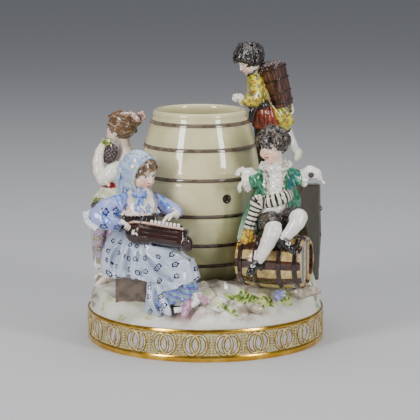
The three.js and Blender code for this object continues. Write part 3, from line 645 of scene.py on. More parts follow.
count = add(tree, "ShaderNodeMath", {"operation": "MULTIPLY_ADD"}, {
    0: angle_node.outputs[0], 1: KEG_STAVES / (2 * math.pi), 2: KEG_STAVES}).outputs[0]
number = add(tree, "ShaderNodeMath", {"operation": "FLOOR"}, {0: count}).outputs[0]
odd = add(tree, "ShaderNodeMath", {"operation": "MODULO"}, {0: number, 1: 2.0}).outputs[0]
head = add(tree, "ShaderNodeSeparateXYZ", None, {
    "Vector": add(tree, "ShaderNodeAttribute", {"attribute_name": "flat"}).outputs["Vector"]})
board = add(tree, "ShaderNodeMath", {"operation": "MULTIPLY_ADD"}, {
    0: head.outputs["X"], 1: 1 / 4.6, 2: 20.5}).outputs[0]
board_odd = add(tree, "ShaderNodeMath", {"operation": "MODULO"}, {
    0: add(tree, "ShaderNodeMath", {"operation": "FLOOR"}, {0: board}).outputs[0], 1: 2.0}).outputs[0]
on_end = share_between(tree, head.outputs["Z"], KEG_END - 0.9, KEG_END - 1.2)
which = add(tree, "ShaderNodeMix", {"data_type": "FLOAT"}, {0: on_end, 2: odd, 3: board_odd}).outputs[0]
grain = share_between(tree, object_noise(tree, 3.5, 6), 0.35, 0.65)
pale = blend(tree, grain, "#a3864a", "#c9b278")
dark = blend(tree, grain, "#2c160a", "#522d18")
tree.links.new(blend(tree, which, pale, dark), body.inputs["Base Color"])
keg.data.materials.append(staves)
rings = []
for s in KEG_HOOPS:
    section = [(keg_radius(s - 1.8) - 0.6, s - 1.8), (keg_radius(s - 1.8) + 0.2, s - 1.8),
               (keg_radius(s - 1.5) + 0.7, s - 1.4), (keg_radius(s) + 0.8, s),
               (keg_radius(s + 1.5) + 0.7, s + 1.4),
               (keg_radius(s + 1.8) + 0.2, s + 1.8), (keg_radius(s + 1.8) - 0.6, s + 1.8)]
    points, faces = turned(section, 96)
    rings.append((lay_down(points), faces))
keg_hoops = make_piece("keg_hoops", *joined(rings), 50)
hoop_brown = mottled("dark brown enamel on the keg's hoops", 0.09, 4, "#20130c", "#42291b",
                     between=(0.4, 0.65), detail=4)
keg_hoops.data.materials.append(hoop_brown)
for piece in (keg, keg_hoops):
    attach(piece, "root")
    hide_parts("porcelain_group")

# Stand and stones. An upright board and a rough pier behind the keg carry the leaning boy; a
# hewn block carries the seated girl. All are pressed and carved clay under grey and brown washes.
FINE = 1.1
BOARD_AT = (57.5, 8, 76.3)
BOARD_SIZE = (55, 6, 72.6)
BLOCK_AT = (-51, -37, 39.5)
BLOCK_SIZE = (24, 22, 39)
BLOCK_TURN = -14


def mixed(a, b, soft):
    """Smooth union of two distances"""
    h = np.clip(0.5 + 0.5 * (a - b) / soft, 0, 1)
    return a + (b - a) * h - soft * h * (1 - h)


class Clay:
    """Modelling clay: rounded forms pressed together as a distance field, then skinned"""
    FAR = 2.6
    SPARE = 0.07

    def __init__(self, step):
        self.step = step * FINE
        self.forms = []

    def put(self, low, high, shape, soft, cut):
        self.forms.append((np.array(low, float), np.array(high, float), shape, max(soft, 0.05), cut))

    def ball(self, centre, radii, turn=None, soft=0.8, cut=False, relief=None):
        """Egg-shaped lump; turn is a rotation matrix, relief pushes its skin out"""
        c = np.array(centre, float)
        r = np.array([radii] * 3 if np.isscalar(radii) else radii, float)
        turn = np.eye(3) if turn is None else turn

        def shape(X, Y, Z):
            x, y, z = X - c[0], Y - c[1], Z - c[2]
            q = [(x * turn[0, k] + y * turn[1, k] + z * turn[2, k]) / r[k] for k in range(3)]
            near = np.sqrt(q[0] ** 2 + q[1] ** 2 + q[2] ** 2) + 1e-6
            slope = np.sqrt((q[0] / r[0]) ** 2 + (q[1] / r[1]) ** 2 + (q[2] / r[2]) ** 2) + 1e-6
            d = near * (near - 1) / slope
            return d - relief(*q) if relief else d
        reach = r.max() + (1.5 if relief else 0)
        self.put(c - reach, c + reach, shape, soft, cut)

    def limb(self, stations, soft=0.8, cut=False):
        """Arm, strap, fold or finger: stations of x, y, z, radius and flatness"""
        rows = [list(s) + [1.0] * (5 - len(s)) for s in stations]
        centres = np.array([r[:3] for r in rows], float)
        side = None
        for k in range(len(rows) - 1):
            a, b = centres[k], centres[k + 1]
            axis = b - a
            unit = axis / (np.linalg.norm(axis) + 1e-9)
            if side is None:
                side = np.array([1.0, 0, 0]) if abs(unit[2]) > 0.8 else np.array([0, 0, 1.0])
            side = side - unit * (side @ unit)
            side = side / np.linalg.norm(side)
            other = np.cross(unit, side)
            ra, rb, fa, fb = rows[k][3], rows[k + 1][3], rows[k][4], rows[k + 1][4]

            def shape(X, Y, Z, a=a, axis=axis, other=other, ra=ra, rb=rb, fa=fa, fb=fb):
                x, y, z = X - a[0], Y - a[1], Z - a[2]
                t = np.clip((x * axis[0] + y * axis[1] + z * axis[2]) / (axis @ axis), 0, 1)
                x, y, z = x - t * axis[0], y - t * axis[1], z - t * axis[2]
                small = 1.0
                if fa != 1 or fb != 1:
                    flat = fa + (fb - fa) * t
                    s = (x * other[0] + y * other[1] + z * other[2]) * (1 / flat - 1)
                    x, y, z = x + s * other[0], y + s * other[1], z + s * other[2]
                    small = min(1.0, fa, fb)
                return (np.sqrt(x * x + y * y + z * z) - (ra + (rb - ra) * t)) * small
            reach = max(ra, rb) * max(1, fa, fb)
            self.put(np.minimum(a, b) - reach, np.maximum(a, b) + reach, shape, soft, cut)

    def drape(self, sections, waves=(), soft=0.8, cut=False, hem=0.0, skew=0.0):
        """Cloth round a body: level sections of x, y, z, rx, ry, turn and fold, with waves of
        (number, phase, share) running down it; hem waves its lower edge"""
        rows = np.array(sorted([list(s) + [0.0] * (7 - len(s)) for s in sections], key=lambda s: s[2]),
                        float)
        keys = rows[:, 2]
        fine = np.linspace(keys[0], keys[-1], 120)
        slopes = np.gradient(rows, keys, axis=0)
        spot = np.clip(np.searchsorted(keys, fine) - 1, 0, len(keys) - 2)
        gap = (keys[spot + 1] - keys[spot])[:, None]
        t = ((fine - keys[spot])[:, None]) / gap
        table = ((2 * t ** 3 - 3 * t ** 2 + 1) * rows[spot] + (t ** 3 - 2 * t ** 2 + t) * gap * slopes[spot]
                 + (-2 * t ** 3 + 3 * t ** 2) * rows[spot + 1] + (t ** 3 - t ** 2) * gap * slopes[spot + 1])
        table = np.clip(table, rows.min(axis=0), rows.max(axis=0))

        def shape(X, Y, Z):
            at = Z.ravel()
            x, y, _, rx, ry, turn, fold = [np.interp(at, fine, table[:, k])[None, None,
                :] for k in range(7)]
            c, s = np.cos(np.radians(turn)), np.sin(np.radians(turn))
            dx, dy = X - x, Y - y
            a, b = (dx * c + dy * s) / rx, (dy * c - dx * s) / ry
            theta = np.arctan2(b, a)
            wave = 0.0
            for number, phase, share in waves:
                wave = wave + share * np.cos(number * theta + phase + skew * (Z - keys[0]))
            size = np.sqrt(a * a + b * b) - 1 - fold * wave
            d = size * np.minimum(rx, ry)
            return np.maximum(d, np.maximum(Z - keys[-1], keys[0] + hem * wave - Z))
        wide = (rows[:, 3:5].max(axis=1) * (1 + rows[:, 6]))[:, None]
        low = (rows[:, :3] - np.hstack([wide, wide, 0 * wide])).min(axis=0) - [0, 0, abs(hem)]
        high = (rows[:, :3] + np.hstack([wide, wide, 0 * wide])).max(axis=0)
        self.put(low, high, shape, soft, cut)

    def block(self, centre, size, turn=None, rounded=1.0, soft=0.8, cut=False):
        """Box with rounded edges"""
        c, h = np.array(centre, float), np.array(size, float) / 2 - rounded
        turn = np.eye(3) if turn is None else turn

        def shape(X, Y, Z):
            x, y, z = X - c[0], Y - c[1], Z - c[2]
            q = [np.abs(x * turn[0, k] + y * turn[1, k] + z * turn[2, k]) - h[k] for k in range(3)]
            out = np.sqrt(sum(np.maximum(p, 0) ** 2 for p in q))
            return out + np.minimum(np.maximum(np.maximum(q[0], q[1]), q[2]), 0) - rounded
        reach = np.linalg.norm(np.array(size) / 2)
        self.put(c - reach, c + reach, shape, soft, cut)

    def skin(self, name, grain=None):
        """Fires the clay: returns the piece, with a hollow value where its surface dips"""
        grown = [f for f in self.forms if not f[4]]
        low = np.min([f[0] for f in grown], axis=0) - 3 * self.step
        high = np.max([f[1] for f in grown], axis=0) + 3 * self.step
        count = np.ceil((high - low) / self.step).astype(int) + 1
        field = np.full(count, self.FAR, np.float32)
        for first, last, shape, soft, cut in self.forms:
            i = np.clip(np.floor((first - self.FAR - low) / self.step).astype(int), 0, count)
            j = np.clip(np.ceil((last + self.FAR - low) / self.step).astype(int) + 1, 0, count)
            if (j <= i).any():
                continue
            X, Y, Z = [(low[k] + self.step * np.arange(i[k], j[k])).astype(np.float32).reshape(
                [-1 if n == k else 1 for n in range(3)]) for k in range(3)]
            part = tuple(slice(i[k], j[k]) for k in range(3))
            near = shape(X, Y, Z).astype(np.float32)
            field[part] = -mixed(-field[part], near, soft) if cut else mixed(field[part], near, soft)
        if grain:
            X, Y, Z = [(low[k] + self.step * np.arange(count[k])).astype(np.float32).reshape(
                [-1 if n == k else 1 for n in range(3)]) for k in range(3)]
            field = field - grain(X, Y, Z).astype(np.float32)
        field = np.clip(field, -self.FAR, self.FAR)
        grid = openvdb.FloatGrid(self.FAR)
        grid.copyFromArray(field)
        grid.transform = openvdb.createLinearTransform(self.step)
        points, triangles, quads = grid.convertToPolygons(isovalue=0.0, adaptivity=self.SPARE)
        faces = np.concatenate([triangles, quads[:, :3], quads[:, [0, 2, 3]]]).astype(np.int64)
        a, b, c = points[faces[:, 0]], points[faces[:, 1]], points[faces[:, 2]]
        if np.einsum("ij,ij->i", a, np.cross(b, c)).sum() < 0:
            faces = faces[:, ::-1]
        piece = make_piece(name, points + low, np.ascontiguousarray(faces))

        def sample(values, at):
            """Reads a field between its grid points"""
            first = np.clip(np.floor(at).astype(int), 0, count - 2)
            share, total = at - first, 0
            for corner in np.ndindex(2, 2, 2):
                weight = np.prod(np.where(corner, share, 1 - share), axis=1)
                total = total + weight * values[tuple((first + corner).T)]
            return total
        reach = max(1, int(round(0.9 / self.step)))
        soft_field = field
        for axis in range(3):
            padded = np.pad(soft_field, [(reach + 1, reach) if k == axis else (0, 0) for k in range(3)],
                            mode="edge")
            run = np.cumsum(padded, axis=axis, dtype=np.float64)
            size = 2 * reach + 1
            soft_field = (np.take(run, range(size, run.shape[axis]), axis)
                          - np.take(run, range(0, run.shape[axis] - size), axis)) / size
        at = points / self.step
        store(piece, "hollow", sample(field, at) - sample(soft_field, at))
        uphill = np.stack([sample(field, at + 0.8 * e) - sample(field, at - 0.8 * e) for e in np.eye(3)],
                          axis=1)
        uphill = uphill / (np.linalg.norm(uphill, axis=1)[:, None] + 1e-9)
        piece.data.normals_split_custom_set_from_vertices(uphill.tolist())
        return piece


def points_of(piece):
    """A piece's points in millimetres"""
    flat = np.empty(len(piece.data.vertices) * 3, np.float32)
    piece.data.vertices.foreach_get("co", flat)
    return flat.reshape(-1, 3) * 1000


def turned_matrix(x=0, y=0, z=0):
    """Rotation about x, then y, then z, in degrees"""
    a, b, c = [math.radians(v) for v in (x, y, z)]
    rx = np.array([[1, 0, 0], [0, math.cos(a), -math.sin(a)], [0, math.sin(a), math.cos(a)]])
    ry = np.array([[math.cos(b), 0, math.sin(b)], [0, 1, 0], [-math.sin(b), 0, math.cos(b)]])
    rz = np.array([[math.cos(c), -math.sin(c), 0], [math.sin(c), math.cos(c), 0], [0, 0, 1]])
    return rz @ ry @ rx


def hewn(X, Y, Z):
    """Chisel marks and dents of a rough stone face, in millimetres"""
    return (0.35 * np.sin(X / 2.6 + 1.5 * np.sin(Z / 5)) * np.sin(Z / 3.1 + 1.3 * np.sin(Y / 4))
            + 0.18 * np.sin(X / 0.9 + Z / 1.3) * np.sin(Y / 1.1 - Z / 1.7))


clay = Clay(0.55)
clay.drape([(52, 31, 30, 30, 26, 0, 0.03), (53, 30, 70, 28, 24, 0, 0.05), (55, 29, 108, 26, 22, 0, 0.03)],
           [(4, 0.7, 1), (9, 2, 0.5)])
pier = clay.skin("stand_pier", lambda X, Y, Z: 1.6 * hewn(X / 1.5, Y / 1.5, Z / 1.5))
clay = Clay(0.5)
clay.block(BOARD_AT, BOARD_SIZE, None, 0.7)
clay.limb([(84.2, 8, 50, 1.4), (84.9, 8, 74, 1.5), (84.4, 8, 111, 1.3)], 1.0)
clay.ball((85.6, 7.6, 94), 1.7, None, 0.6)
board = clay.skin("stand_board",
                  lambda X, Y, Z: 0.05 * np.sin(X / 0.8 + 0.6 * np.sin(Z / 9)) + 0.1 * hewn(X, Y, Z))
clay = Clay(0.5)
clay.block(BLOCK_AT, BLOCK_SIZE, turned_matrix(0, 0, BLOCK_TURN), 0.9)
block = clay.skin("seat_block", lambda X, Y, Z: 0.5 * hewn(X, Y, Z))
clay = Clay(0.5)


def boulder(centre, radii, seed):
    """Rough stone broken to flat faces"""
    ways = np.random.default_rng(seed).normal(size=(13, 3))
    ways = ways / np.linalg.norm(ways, axis=1)[:, None]

    def shape(X, Y, Z):
        x, y, z = [(a - c) / r for a, c, r in zip((X, Y, Z), centre, radii)]
        near = np.full(np.broadcast_shapes(x.shape, y.shape, z.shape), -9.0)
        for way in ways:
            near = np.maximum(near, x * way[0] + y * way[1] + z * way[2] - 0.74)
        return near * min(radii)
    reach = np.array(radii) * 1.3
    clay.put(centre - reach, centre + reach, shape, 0.8, False)


stones = [(-5, -37, 41.4, 12, 6, 5.2), (12, -35, 41.4, 10, 6, 4.8), (30, -36, 41.2, 9, 6, 4.6),
          (70, -42, 42, 9, 11, 5.6),
          (37, -62, 33, 6, 4, 3.4), (-78, 12, 34, 8, 13, 9), (-62, 48, 37, 15, 11, 9),
          (-30, 64, 37, 16, 10, 10),
          (16, 70, 36, 15, 9, 9), (-80, -18, 29, 6, 9, 8), (60, 52, 38, 13, 11, 8),
          (46, -30, 42, 16, 9, 4.6)]
for i, (x, y, z, rx, ry, rz) in enumerate(stones):
    boulder(np.array([x, y, z], float), (rx, ry, rz), 20 + i)
stones = clay.skin("mound_stones", lambda X, Y, Z: 0.7 * hewn(X / 1.3, Y / 1.3, Z / 1.3))
clay = Clay(0.4)
boulder(np.array([51.5, -53.5, 39.2]), (3.7, 3.1, 3.1), 5)
violet_stone = clay.skin("mound_violet_stone")

def brushed(tree, stretch, scale, detail=4, tilt=(0, 0, 0)):
    """Streaks drawn out by a brush"""
    place = add(tree, "ShaderNodeTexCoord").outputs["Object"]
    long = add(tree, "ShaderNodeMapping", None,
               {"Vector": place, "Rotation": tilt, "Scale": stretch}).outputs[0]
    return add(tree, "ShaderNodeTexNoise", None,
               {"Vector": long, "Scale": scale, "Detail": detail}).outputs["Fac"]

stone_wash, tree, body = glaze("grey stone wash under glaze", 0.12, 1.4)
cloud = share_between(tree, object_noise(tree, 8, 5), 0.36, 0.64)
colour = blend(tree, cloud, "#8e7e6c", "#c8beae")
colour = blend(tree, share_between(tree, object_noise(tree, 14), 0.56, 0.7), colour, "#b9bb8a")
tree.links.new(pooled_and_shaded(tree, colour, "#6a5c4f"), body.inputs["Base Color"])
stones.data.materials.append(stone_wash)
pier.data.materials.append(stone_wash)
violet_wash = mottled("blue-violet stone wash under glaze", 0.12, 3, "#5d6088", "#9495b4", "#454560",
                      between=(0.4, 0.62), detail=4, ripple=1.4)
violet_stone.data.materials.append(violet_wash)
olive, tree, body = glaze("olive-grey painted board with a brushed grain", 0.1)
brush = brushed(tree, (1, 1, 0.12), 420)
colour = blend(tree, share_between(tree, brush, 0.25, 0.75), "#332f21", "#474230")
colour = blend(tree, share_between(tree, object_noise(tree, 30), 0.45, 0.7), colour, "#403828")
tree.links.new(pooled_and_shaded(tree, colour, "#29261e"), body.inputs["Base Color"])
board.data.materials.append(olive)
umber = mottled("umber and grey wash on the hewn block", 0.13, 7, "#4d3e30", "#72614e", "#3b2f27",
                between=(0.36, 0.64), detail=5, ripple=1.4)
block.data.materials.append(umber)
for piece in (pier, board, block, stones, violet_stone):
    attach(piece, "root")
    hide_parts("porcelain_group")

# Seated girl, head and hands. A calm child's face modelled in the round, looking down to the
# right, with a bare neck and two small hands. Thin flesh enamel with painted eyes and lips.
def unit(v):
    v = np.array(v, float)
    return v / np.linalg.norm(v)


def seat(piece, at, turn, size):
    """Moves a form modelled about its own centre to its place in the group"""
    world = (points_of(piece) * size) @ turn.T + np.array(at, float)
    piece.data.vertices.foreach_set("co", (world / 1000).astype(np.float32).ravel())
    piece.data.update()


def child_head(name, at, turn, size, neck):
    """Child's head facing +Y with its eyes at height 0, then turned and set in place"""
    clay = Clay(0.3)
    clay.ball((0, -0.6, 2.4), (9.3, 10.2, 9.8))
    clay.ball((0, 2.3, -4.4), (7.5, 7.0, 8.0), None, 2.2)
    clay.ball((0, 6.6, -10.0), 2.5, None, 1.6)
    for side in (-1, 1):
        clay.ball((side * 4.4, 5.3, -5.2), 3.7, None, 1.8)
        clay.ball((side * 3.7, 9.5, 0.1), (2.5, 1.8, 1.5), None, 1.1, True)
    clay.limb([(-6.2, 7.2, 2.5, 0.5), (-3.9, 8.9, 3.2, 0.7), (-1.5, 8.9, 2.6, 0.6), (1.5, 8.9, 2.6, 0.6),
               (3.9, 8.9, 3.2, 0.7), (6.2, 7.2, 2.5, 0.5)], 1.2)
    clay.limb([(0, 8.7, 1.8, 0.8), (0, 9.6, -0.9, 0.9), (0, 10.6, -3.1, 1.35)], 0.9)
    clay.ball((0, 7.4, -6.6), (3.5, 2.4, 2.7), None, 1.4)
    for side in (-1, 1):
        clay.ball((side * 1.25, 9.6, -3.5), 0.9, None, 0.5)
        clay.ball((side * 0.7, 10.9, -4.5), 0.4, None, 0.3, True)
        clay.ball((side * 3.7, 6.75, -0.15), 1.7, None, 0.2)
        clay.limb([(side * 2.0, 8.1, 0.2, 0.28), (side * 3.0, 8.6, 1.1, 0.34),
                   (side * 4.3, 8.5, 1.15, 0.34),
                   (side * 5.6, 7.5, 0.2, 0.28)], 0.25)
        clay.limb([(side * 2.3, 8.0, -0.9, 0.25), (side * 3.7, 8.35, -1.5, 0.28),
                   (side * 5.2, 7.6, -0.9, 0.25)], 0.3)
        clay.ball((side * 9.0, -0.8, -1.6), (1.1, 2.2, 2.9), turned_matrix(0, 0, -18 * side), 0.5)
        clay.ball((side * 10.0, 0.1, -1.3), (0.8, 1.1, 1.7), None, 0.4, True)
    clay.limb([(-2.1, 9.0, -6.6, 0.4), (-0.7, 9.75, -6.2, 0.62), (0, 9.8, -6.4, 0.5),
               (0.7, 9.75, -6.2, 0.62),
               (2.1, 9.0, -6.6, 0.4)], 0.3)
    clay.limb([(-1.5, 8.9, -7.5, 0.45), (0, 9.5, -7.8, 0.75), (1.5, 8.9, -7.5, 0.45)], 0.3)
    clay.limb([(-2.0, 9.75, -7.0, 0.2), (0, 10.4, -7.05, 0.25), (2.0, 9.75, -7.0, 0.2)], 0.15, True)
    inside = [list(turn.T @ (np.array(s[:3], float) - at) / size) + [s[3] / size] for s in neck]
    clay.limb([(0, -2.2, -5, 4.8)] + inside, 1.6)
    piece = clay.skin(name)
    store(piece, "face", points_of(piece))
    seat(piece, at, turn, size)
    return piece


def hand(clay, wrist, reach, palm, thumb=1, curl=0.45, size=1.0):
    """Small hand from its wrist: reach is where it points, palm is where the palm faces"""
    wrist = np.array(wrist, float)
    f = unit(reach)
    n = unit(np.array(palm, float) - f * (np.array(palm, float) @ f))
    s = np.cross(f, n) * thumb
    turn = np.stack([s, f, n], axis=1)
    clay.ball(wrist + f * 2.7 * size, (2.5 * size, 3.1 * size, 1.35 * size), turn, 0.8)
    for k, length in enumerate((4.6, 5.1, 4.8, 3.8)):
        at = wrist + f * (4.7 - 0.25 * abs(k - 1)) * size + s * (1.9 - 1.25 * k) * size
        stations, bend = [list(at) + [0.72 * size]], curl * (0.75 + 0.12 * k)
        for part, thick in ((0.42, 0.68), (0.32, 0.6), (0.26, 0.46)):
            fan = s * (0.12 - 0.07 * k)
            at = at + (f * math.cos(bend) + n * math.sin(bend) + fan) * length * part * size
            stations.append(list(at) + [thick * size])
            bend += curl * 0.9
        clay.limb(stations, 0.25)
    root = wrist + f * 1.5 * size + s * 2.0 * size
    mid = root + (f * 0.75 + s * 0.55 + n * 0.3) * 2.1 * size
    tip = mid + (f * 0.9 + s * 0.1 + n * 0.45) * 1.9 * size
    clay.limb([list(root) + [0.95 * size], list(mid) + [0.75 * size], list(tip) + [0.55 * size]], 0.5)


def spot(tree, x, z, centre, radii, soft=0.3):
    """Painted oval mark: 1 inside, 0 outside"""
    dx = add(tree, "ShaderNodeMath", {"operation": "MULTIPLY_ADD"},
             {0: x, 1: 1 / radii[0], 2: -centre[0] / radii[0]})
    dz = add(tree, "ShaderNodeMath", {"operation": "MULTIPLY_ADD"},
             {0: z, 1: 1 / radii[1], 2: -centre[1] / radii[1]})
    both = add(tree, "ShaderNodeCombineXYZ", None, {"X": dx.outputs[0], "Y": dz.outputs[0]}).outputs[0]
    far = add(tree, "ShaderNodeVectorMath", {"operation": "LENGTH"}, {0: both}).outputs["Value"]
    return share_between(tree, far, 1 + soft, 1 - soft)


def flesh_enamel(name, iris, brow):
    """Flesh enamel: ivory with a warm blush, eyes, brows and lips painted on, and a painted glint in each
    eye
    """
    material, tree, body = glaze(name, 0.1, 0.5)
    colour = blend(tree, share_between(tree, object_noise(tree, 8), 0.42, 0.7), "#f2e7d8", "#eed8c3")
    local = add(tree, "ShaderNodeSeparateXYZ", None, {
        "Vector": add(tree, "ShaderNodeAttribute", {"attribute_name": "face"}).outputs["Vector"]})
    front = share_between(tree, local.outputs["Y"], 3.5, 5.5)
    x = add(tree, "ShaderNodeMath", {"operation": "ABSOLUTE"}, {0: local.outputs["X"]}).outputs[0]
    z = local.outputs["Z"]
    # The small pure white dot above each iris is a painted glint of light
    marks = [((5.4, -4.8), (4.6, 3.6), 0.7, "#ecae8c"), ((0, -10.2), (3.0, 2.4), 0.7, "#ecb294"),
             ((0, -3.8), (2.0, 1.6), 0.7, "#eeb9a0"), ((3.7, -0.15), (1.75, 0.95), 0.2, "#f7f4ee"),
             ((3.7, -0.05), (0.95, 1.0), 0.2, iris), ((3.7, -0.05), (0.45, 0.5), 0.25, "#1c1512"),
             ((3.5, 0.28), (0.22, 0.22), 0.3, "#ffffff"), ((3.8, 1.0), (2.1, 0.3), 0.5, "#6b3f2a"),
             ((4.0, 3.5), (2.4, 0.42), 0.6, brow), ((0.8, -4.6), (0.42, 0.35), 0.5, "#b0543c"),
             ((0.9, -6.5), (1.5, 0.55), 0.35, "#c7695a"), ((0, -7.75), (1.6, 0.75), 0.35, "#d07c6c"),
             ((0, -7.05), (2.1, 0.26), 0.5, "#8f4a3c")]
    for centre, radii, soft, paint in marks:
        mark = spot(tree, x, z, centre, radii, soft)
        share = add(tree, "ShaderNodeMath", {"operation": "MULTIPLY"}, {0: mark, 1: front}).outputs[0]
        if soft > 0.6:
            share = add(tree, "ShaderNodeMath", {"operation": "MULTIPLY"}, {0: share, 1: 0.75}).outputs[0]
        colour = blend(tree, share, colour, paint)
    tree.links.new(pooled_and_shaded(tree, colour, "#c98d68", 0.55), body.inputs["Base Color"])
    return material


GIRL_AT = (-46, -43, 129.4)
GIRL_TURN = turned_matrix(-18, 0, -131)
GIRL_SIZE = 1.04
girl_head = child_head("girl_head", GIRL_AT, GIRL_TURN, GIRL_SIZE,
                       [(-46, -42, 119, 4.9), (-48, -42.2, 111, 5.4)])
clay = Clay(0.32)
clay.limb([(-19.6, -47.5, 100.2, 2.8), (-21.8, -51.8, 99.6, 2.5)], 0.6)
hand(clay, (-22.6, -51.8, 100.2), (-0.86, -0.42, -0.42), (0.1, -0.3, -0.95), 1, 0.34, 1.45)
clay.limb([(-62, -57, 95.4, 2.6), (-59, -60, 95.6, 2.1)], 0.6)
hand(clay, (-59.4, -59.6, 95.6), (0.8, -0.5, -0.2), (0.2, -0.4, -0.9), 1, 0.7, 1.0)
girl_hands = clay.skin("girl_hands")
flesh = flesh_enamel("flesh enamel, brown eyes and brows", "#4a3524", "#8a6446")
for piece in (girl_head, girl_hands):
    piece.data.materials.append(flesh)
    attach(piece, "root")
    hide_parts("porcelain_group")

# Seated girl's hair and hood. Short curls show at the brow; a pale blue printed cloth is drawn
# over the head with a rolled edge, tied under the chin, its corner hanging down the back.
chance = np.random.default_rng(7)
GOLDEN_ANGLE = 2.399963

def spread_evenly(count):
    """Directions spread evenly over a ball, from its top down"""
    for k in range(count):
        up = 1 - 2 * (k + 0.5) / count
        level = math.sqrt(1 - up * up)
        around = k * GOLDEN_ANGLE
        yield np.array([level * math.cos(around), level * math.sin(around), up])


def locks(clay, centre, radii, count, keep, length=8.4, thick=0.8, loose=0.9, lively=1.0):
    """Carved hair: comma-shaped locks of a few strands, laid over the scalp away from the crown"""
    centre, radii = np.array(centre, float), np.array(radii, float)
    crown = unit((0.12, -0.55, 0.83))
    for d in spread_evenly(count):
        heading = chance.uniform(-loose, loose)
        bend = chance.uniform(0.8, 2.2) * (1 if chance.random() > 0.5 else -1)
        rise = lively * chance.uniform(0.2, 1.6)
        flick = lively * max(0.0, chance.uniform(-1.6, 3.0))
        long = length * chance.uniform(0.75, 1.15)
        if not keep(d):
            continue
        for strand in (-1, 0, 1):
            aside = strand * thick * 1.25
            at, stations = d, []
            for share in np.linspace(0, 1, 6):
                n = unit(at / radii)
                away = unit(n * (n @ crown) - crown + 1e-6)
                across = np.cross(n, away)
                turn = heading + bend * share
                way = away * math.cos(turn) + across * math.sin(turn)
                side = across * math.cos(turn) - away * math.sin(turn)
                arch = math.sin(math.pi * min(1, share * 1.15))
                lift = 0.3 + rise * arch + flick * share ** 3 - 0.16 * abs(aside)
                pinch = 1 - 0.7 * share * share
                place = centre + radii * at + n * lift + side * aside * pinch
                stations.append(list(place) + [thick * (1.05 - 0.6 * share * share)])
                at = at + way * long / 5 / radii
                at = at / np.linalg.norm(at)
            clay.limb(stations, 0.22)


clay = Clay(0.3)
clay.ball((0, -0.4, 2.8), (9.7, 10.3, 10.0))
locks(clay, (0, -0.4, 2.8), (9.7, 10.3, 10.0), 120,
      lambda d: d[1] > 0.0 and (d[2] > 0.5 + 0.2 * d[1] or (abs(d[0]) > 0.75 and d[2] > -0.4)), 5.4, 0.55,
      0.4, 0.35)
clay.ball((0, 7.2, -3.5), (7.6, 9, 7.6), None, 0.3, True)
girl_hair = clay.skin("girl_hair")
seat(girl_hair, GIRL_AT, GIRL_TURN, GIRL_SIZE)


def hair_enamel(name, dark, light):
    """Hair enamel in fine brush strokes: dark in the hollows as enamel pooling and painted shade between
    the locks, thin and pale on the locks
    """
    material, tree, body = glaze(name, 0.2, 0.6)
    body.inputs["Coat Weight"].default_value = 0.6
    strokes = share_between(tree, object_noise(tree, 2.2, 4), 0.48, 0.62)
    colour = blend(tree, strokes, dark, light)
    hollow = add(tree, "ShaderNodeAttribute", {"attribute_name": "hollow"}).outputs["Fac"]
    # Painted shade: the hollows between the locks go dark, partly as enamel pooling
    colour = blend(tree, share_between(tree, hollow, 0.1, -0.12), dark, colour)
    tree.links.new(colour, body.inputs["Base Color"])
    return material


girl_hair.data.materials.append(hair_enamel("chestnut hair enamel", "#5a432e", "#a08462"))

clay = Clay(0.36)
clay.ball((0, -2.6, 1.6), (12.3, 12.6, 12.6), None, 0.8, False,
          lambda x, y, z: 0.35 * np.cos(9 * np.arctan2(x, z) + 3 * y) * np.clip(1 - y, 0, 1.4))
clay.ball((0, -3, -8.5), (9.5, 9.5, 8), None, 3)
clay.put((-30, -30, -30), (30, 30, 30), lambda X, Y, Z: (3.6 + 0.1 * (Z + 2) - Y) + 0 * X, 0.5, True)
edge = [(0, 4.7, 12.6), (6.0, 4.5, 10.7), (9.9, 3.9, 6.0), (10.9, 3.3, 0), (9.7, 3.2, -6.2),
        (6.8, 4.6, -11.0),
        (3.6, 6.2, -13.2)]
for side in (1, -1):
    clay.limb([(side * x, y, z, 1.15) for x, y, z in edge] + [(0, 6.2, -14.2, 1.4)], 0.6)
for side in (1, -1):
    clay.limb([(side * x * 0.97, y - 2.6, z * 0.96, 0.55) for x, y, z in edge], 0.8)
for k in range(5):
    lean = (k - 2) * 0.34
    clay.limb([(11 * math.sin(lean), -9.6, 8 * math.cos(lean) - 1, 0.9),
               (9 * math.sin(lean), -13.6, -1, 1.0),
               (5 * math.sin(lean), -13.2, -9, 0.8)], 1.6)
girl_hood = clay.skin("girl_hood")
seat(girl_hood, GIRL_AT, GIRL_TURN, GIRL_SIZE)
clay = Clay(0.4)
clay.limb([(-55, -38.5, 138, 3.6, 0.7), (-58.6, -38, 131, 4.6, 0.6), (-60.2, -38, 123, 4.4, 0.5),
           (-59.4, -39, 113.5, 5.0, 0.4)], 1.2)
for x, z, shift in ((-62.2, 124, 0.6), (-59.4, 122, -0.9), (-57.2, 124, 0.4)):
    clay.limb([(x + 3.2, -40.2, z + 12, 0.8), (x, -41.4, z, 1.1), (x - 0.4 + shift, -42, z - 12, 1.2)], 1.0)
girl_scarf = clay.skin("girl_scarf_tail")


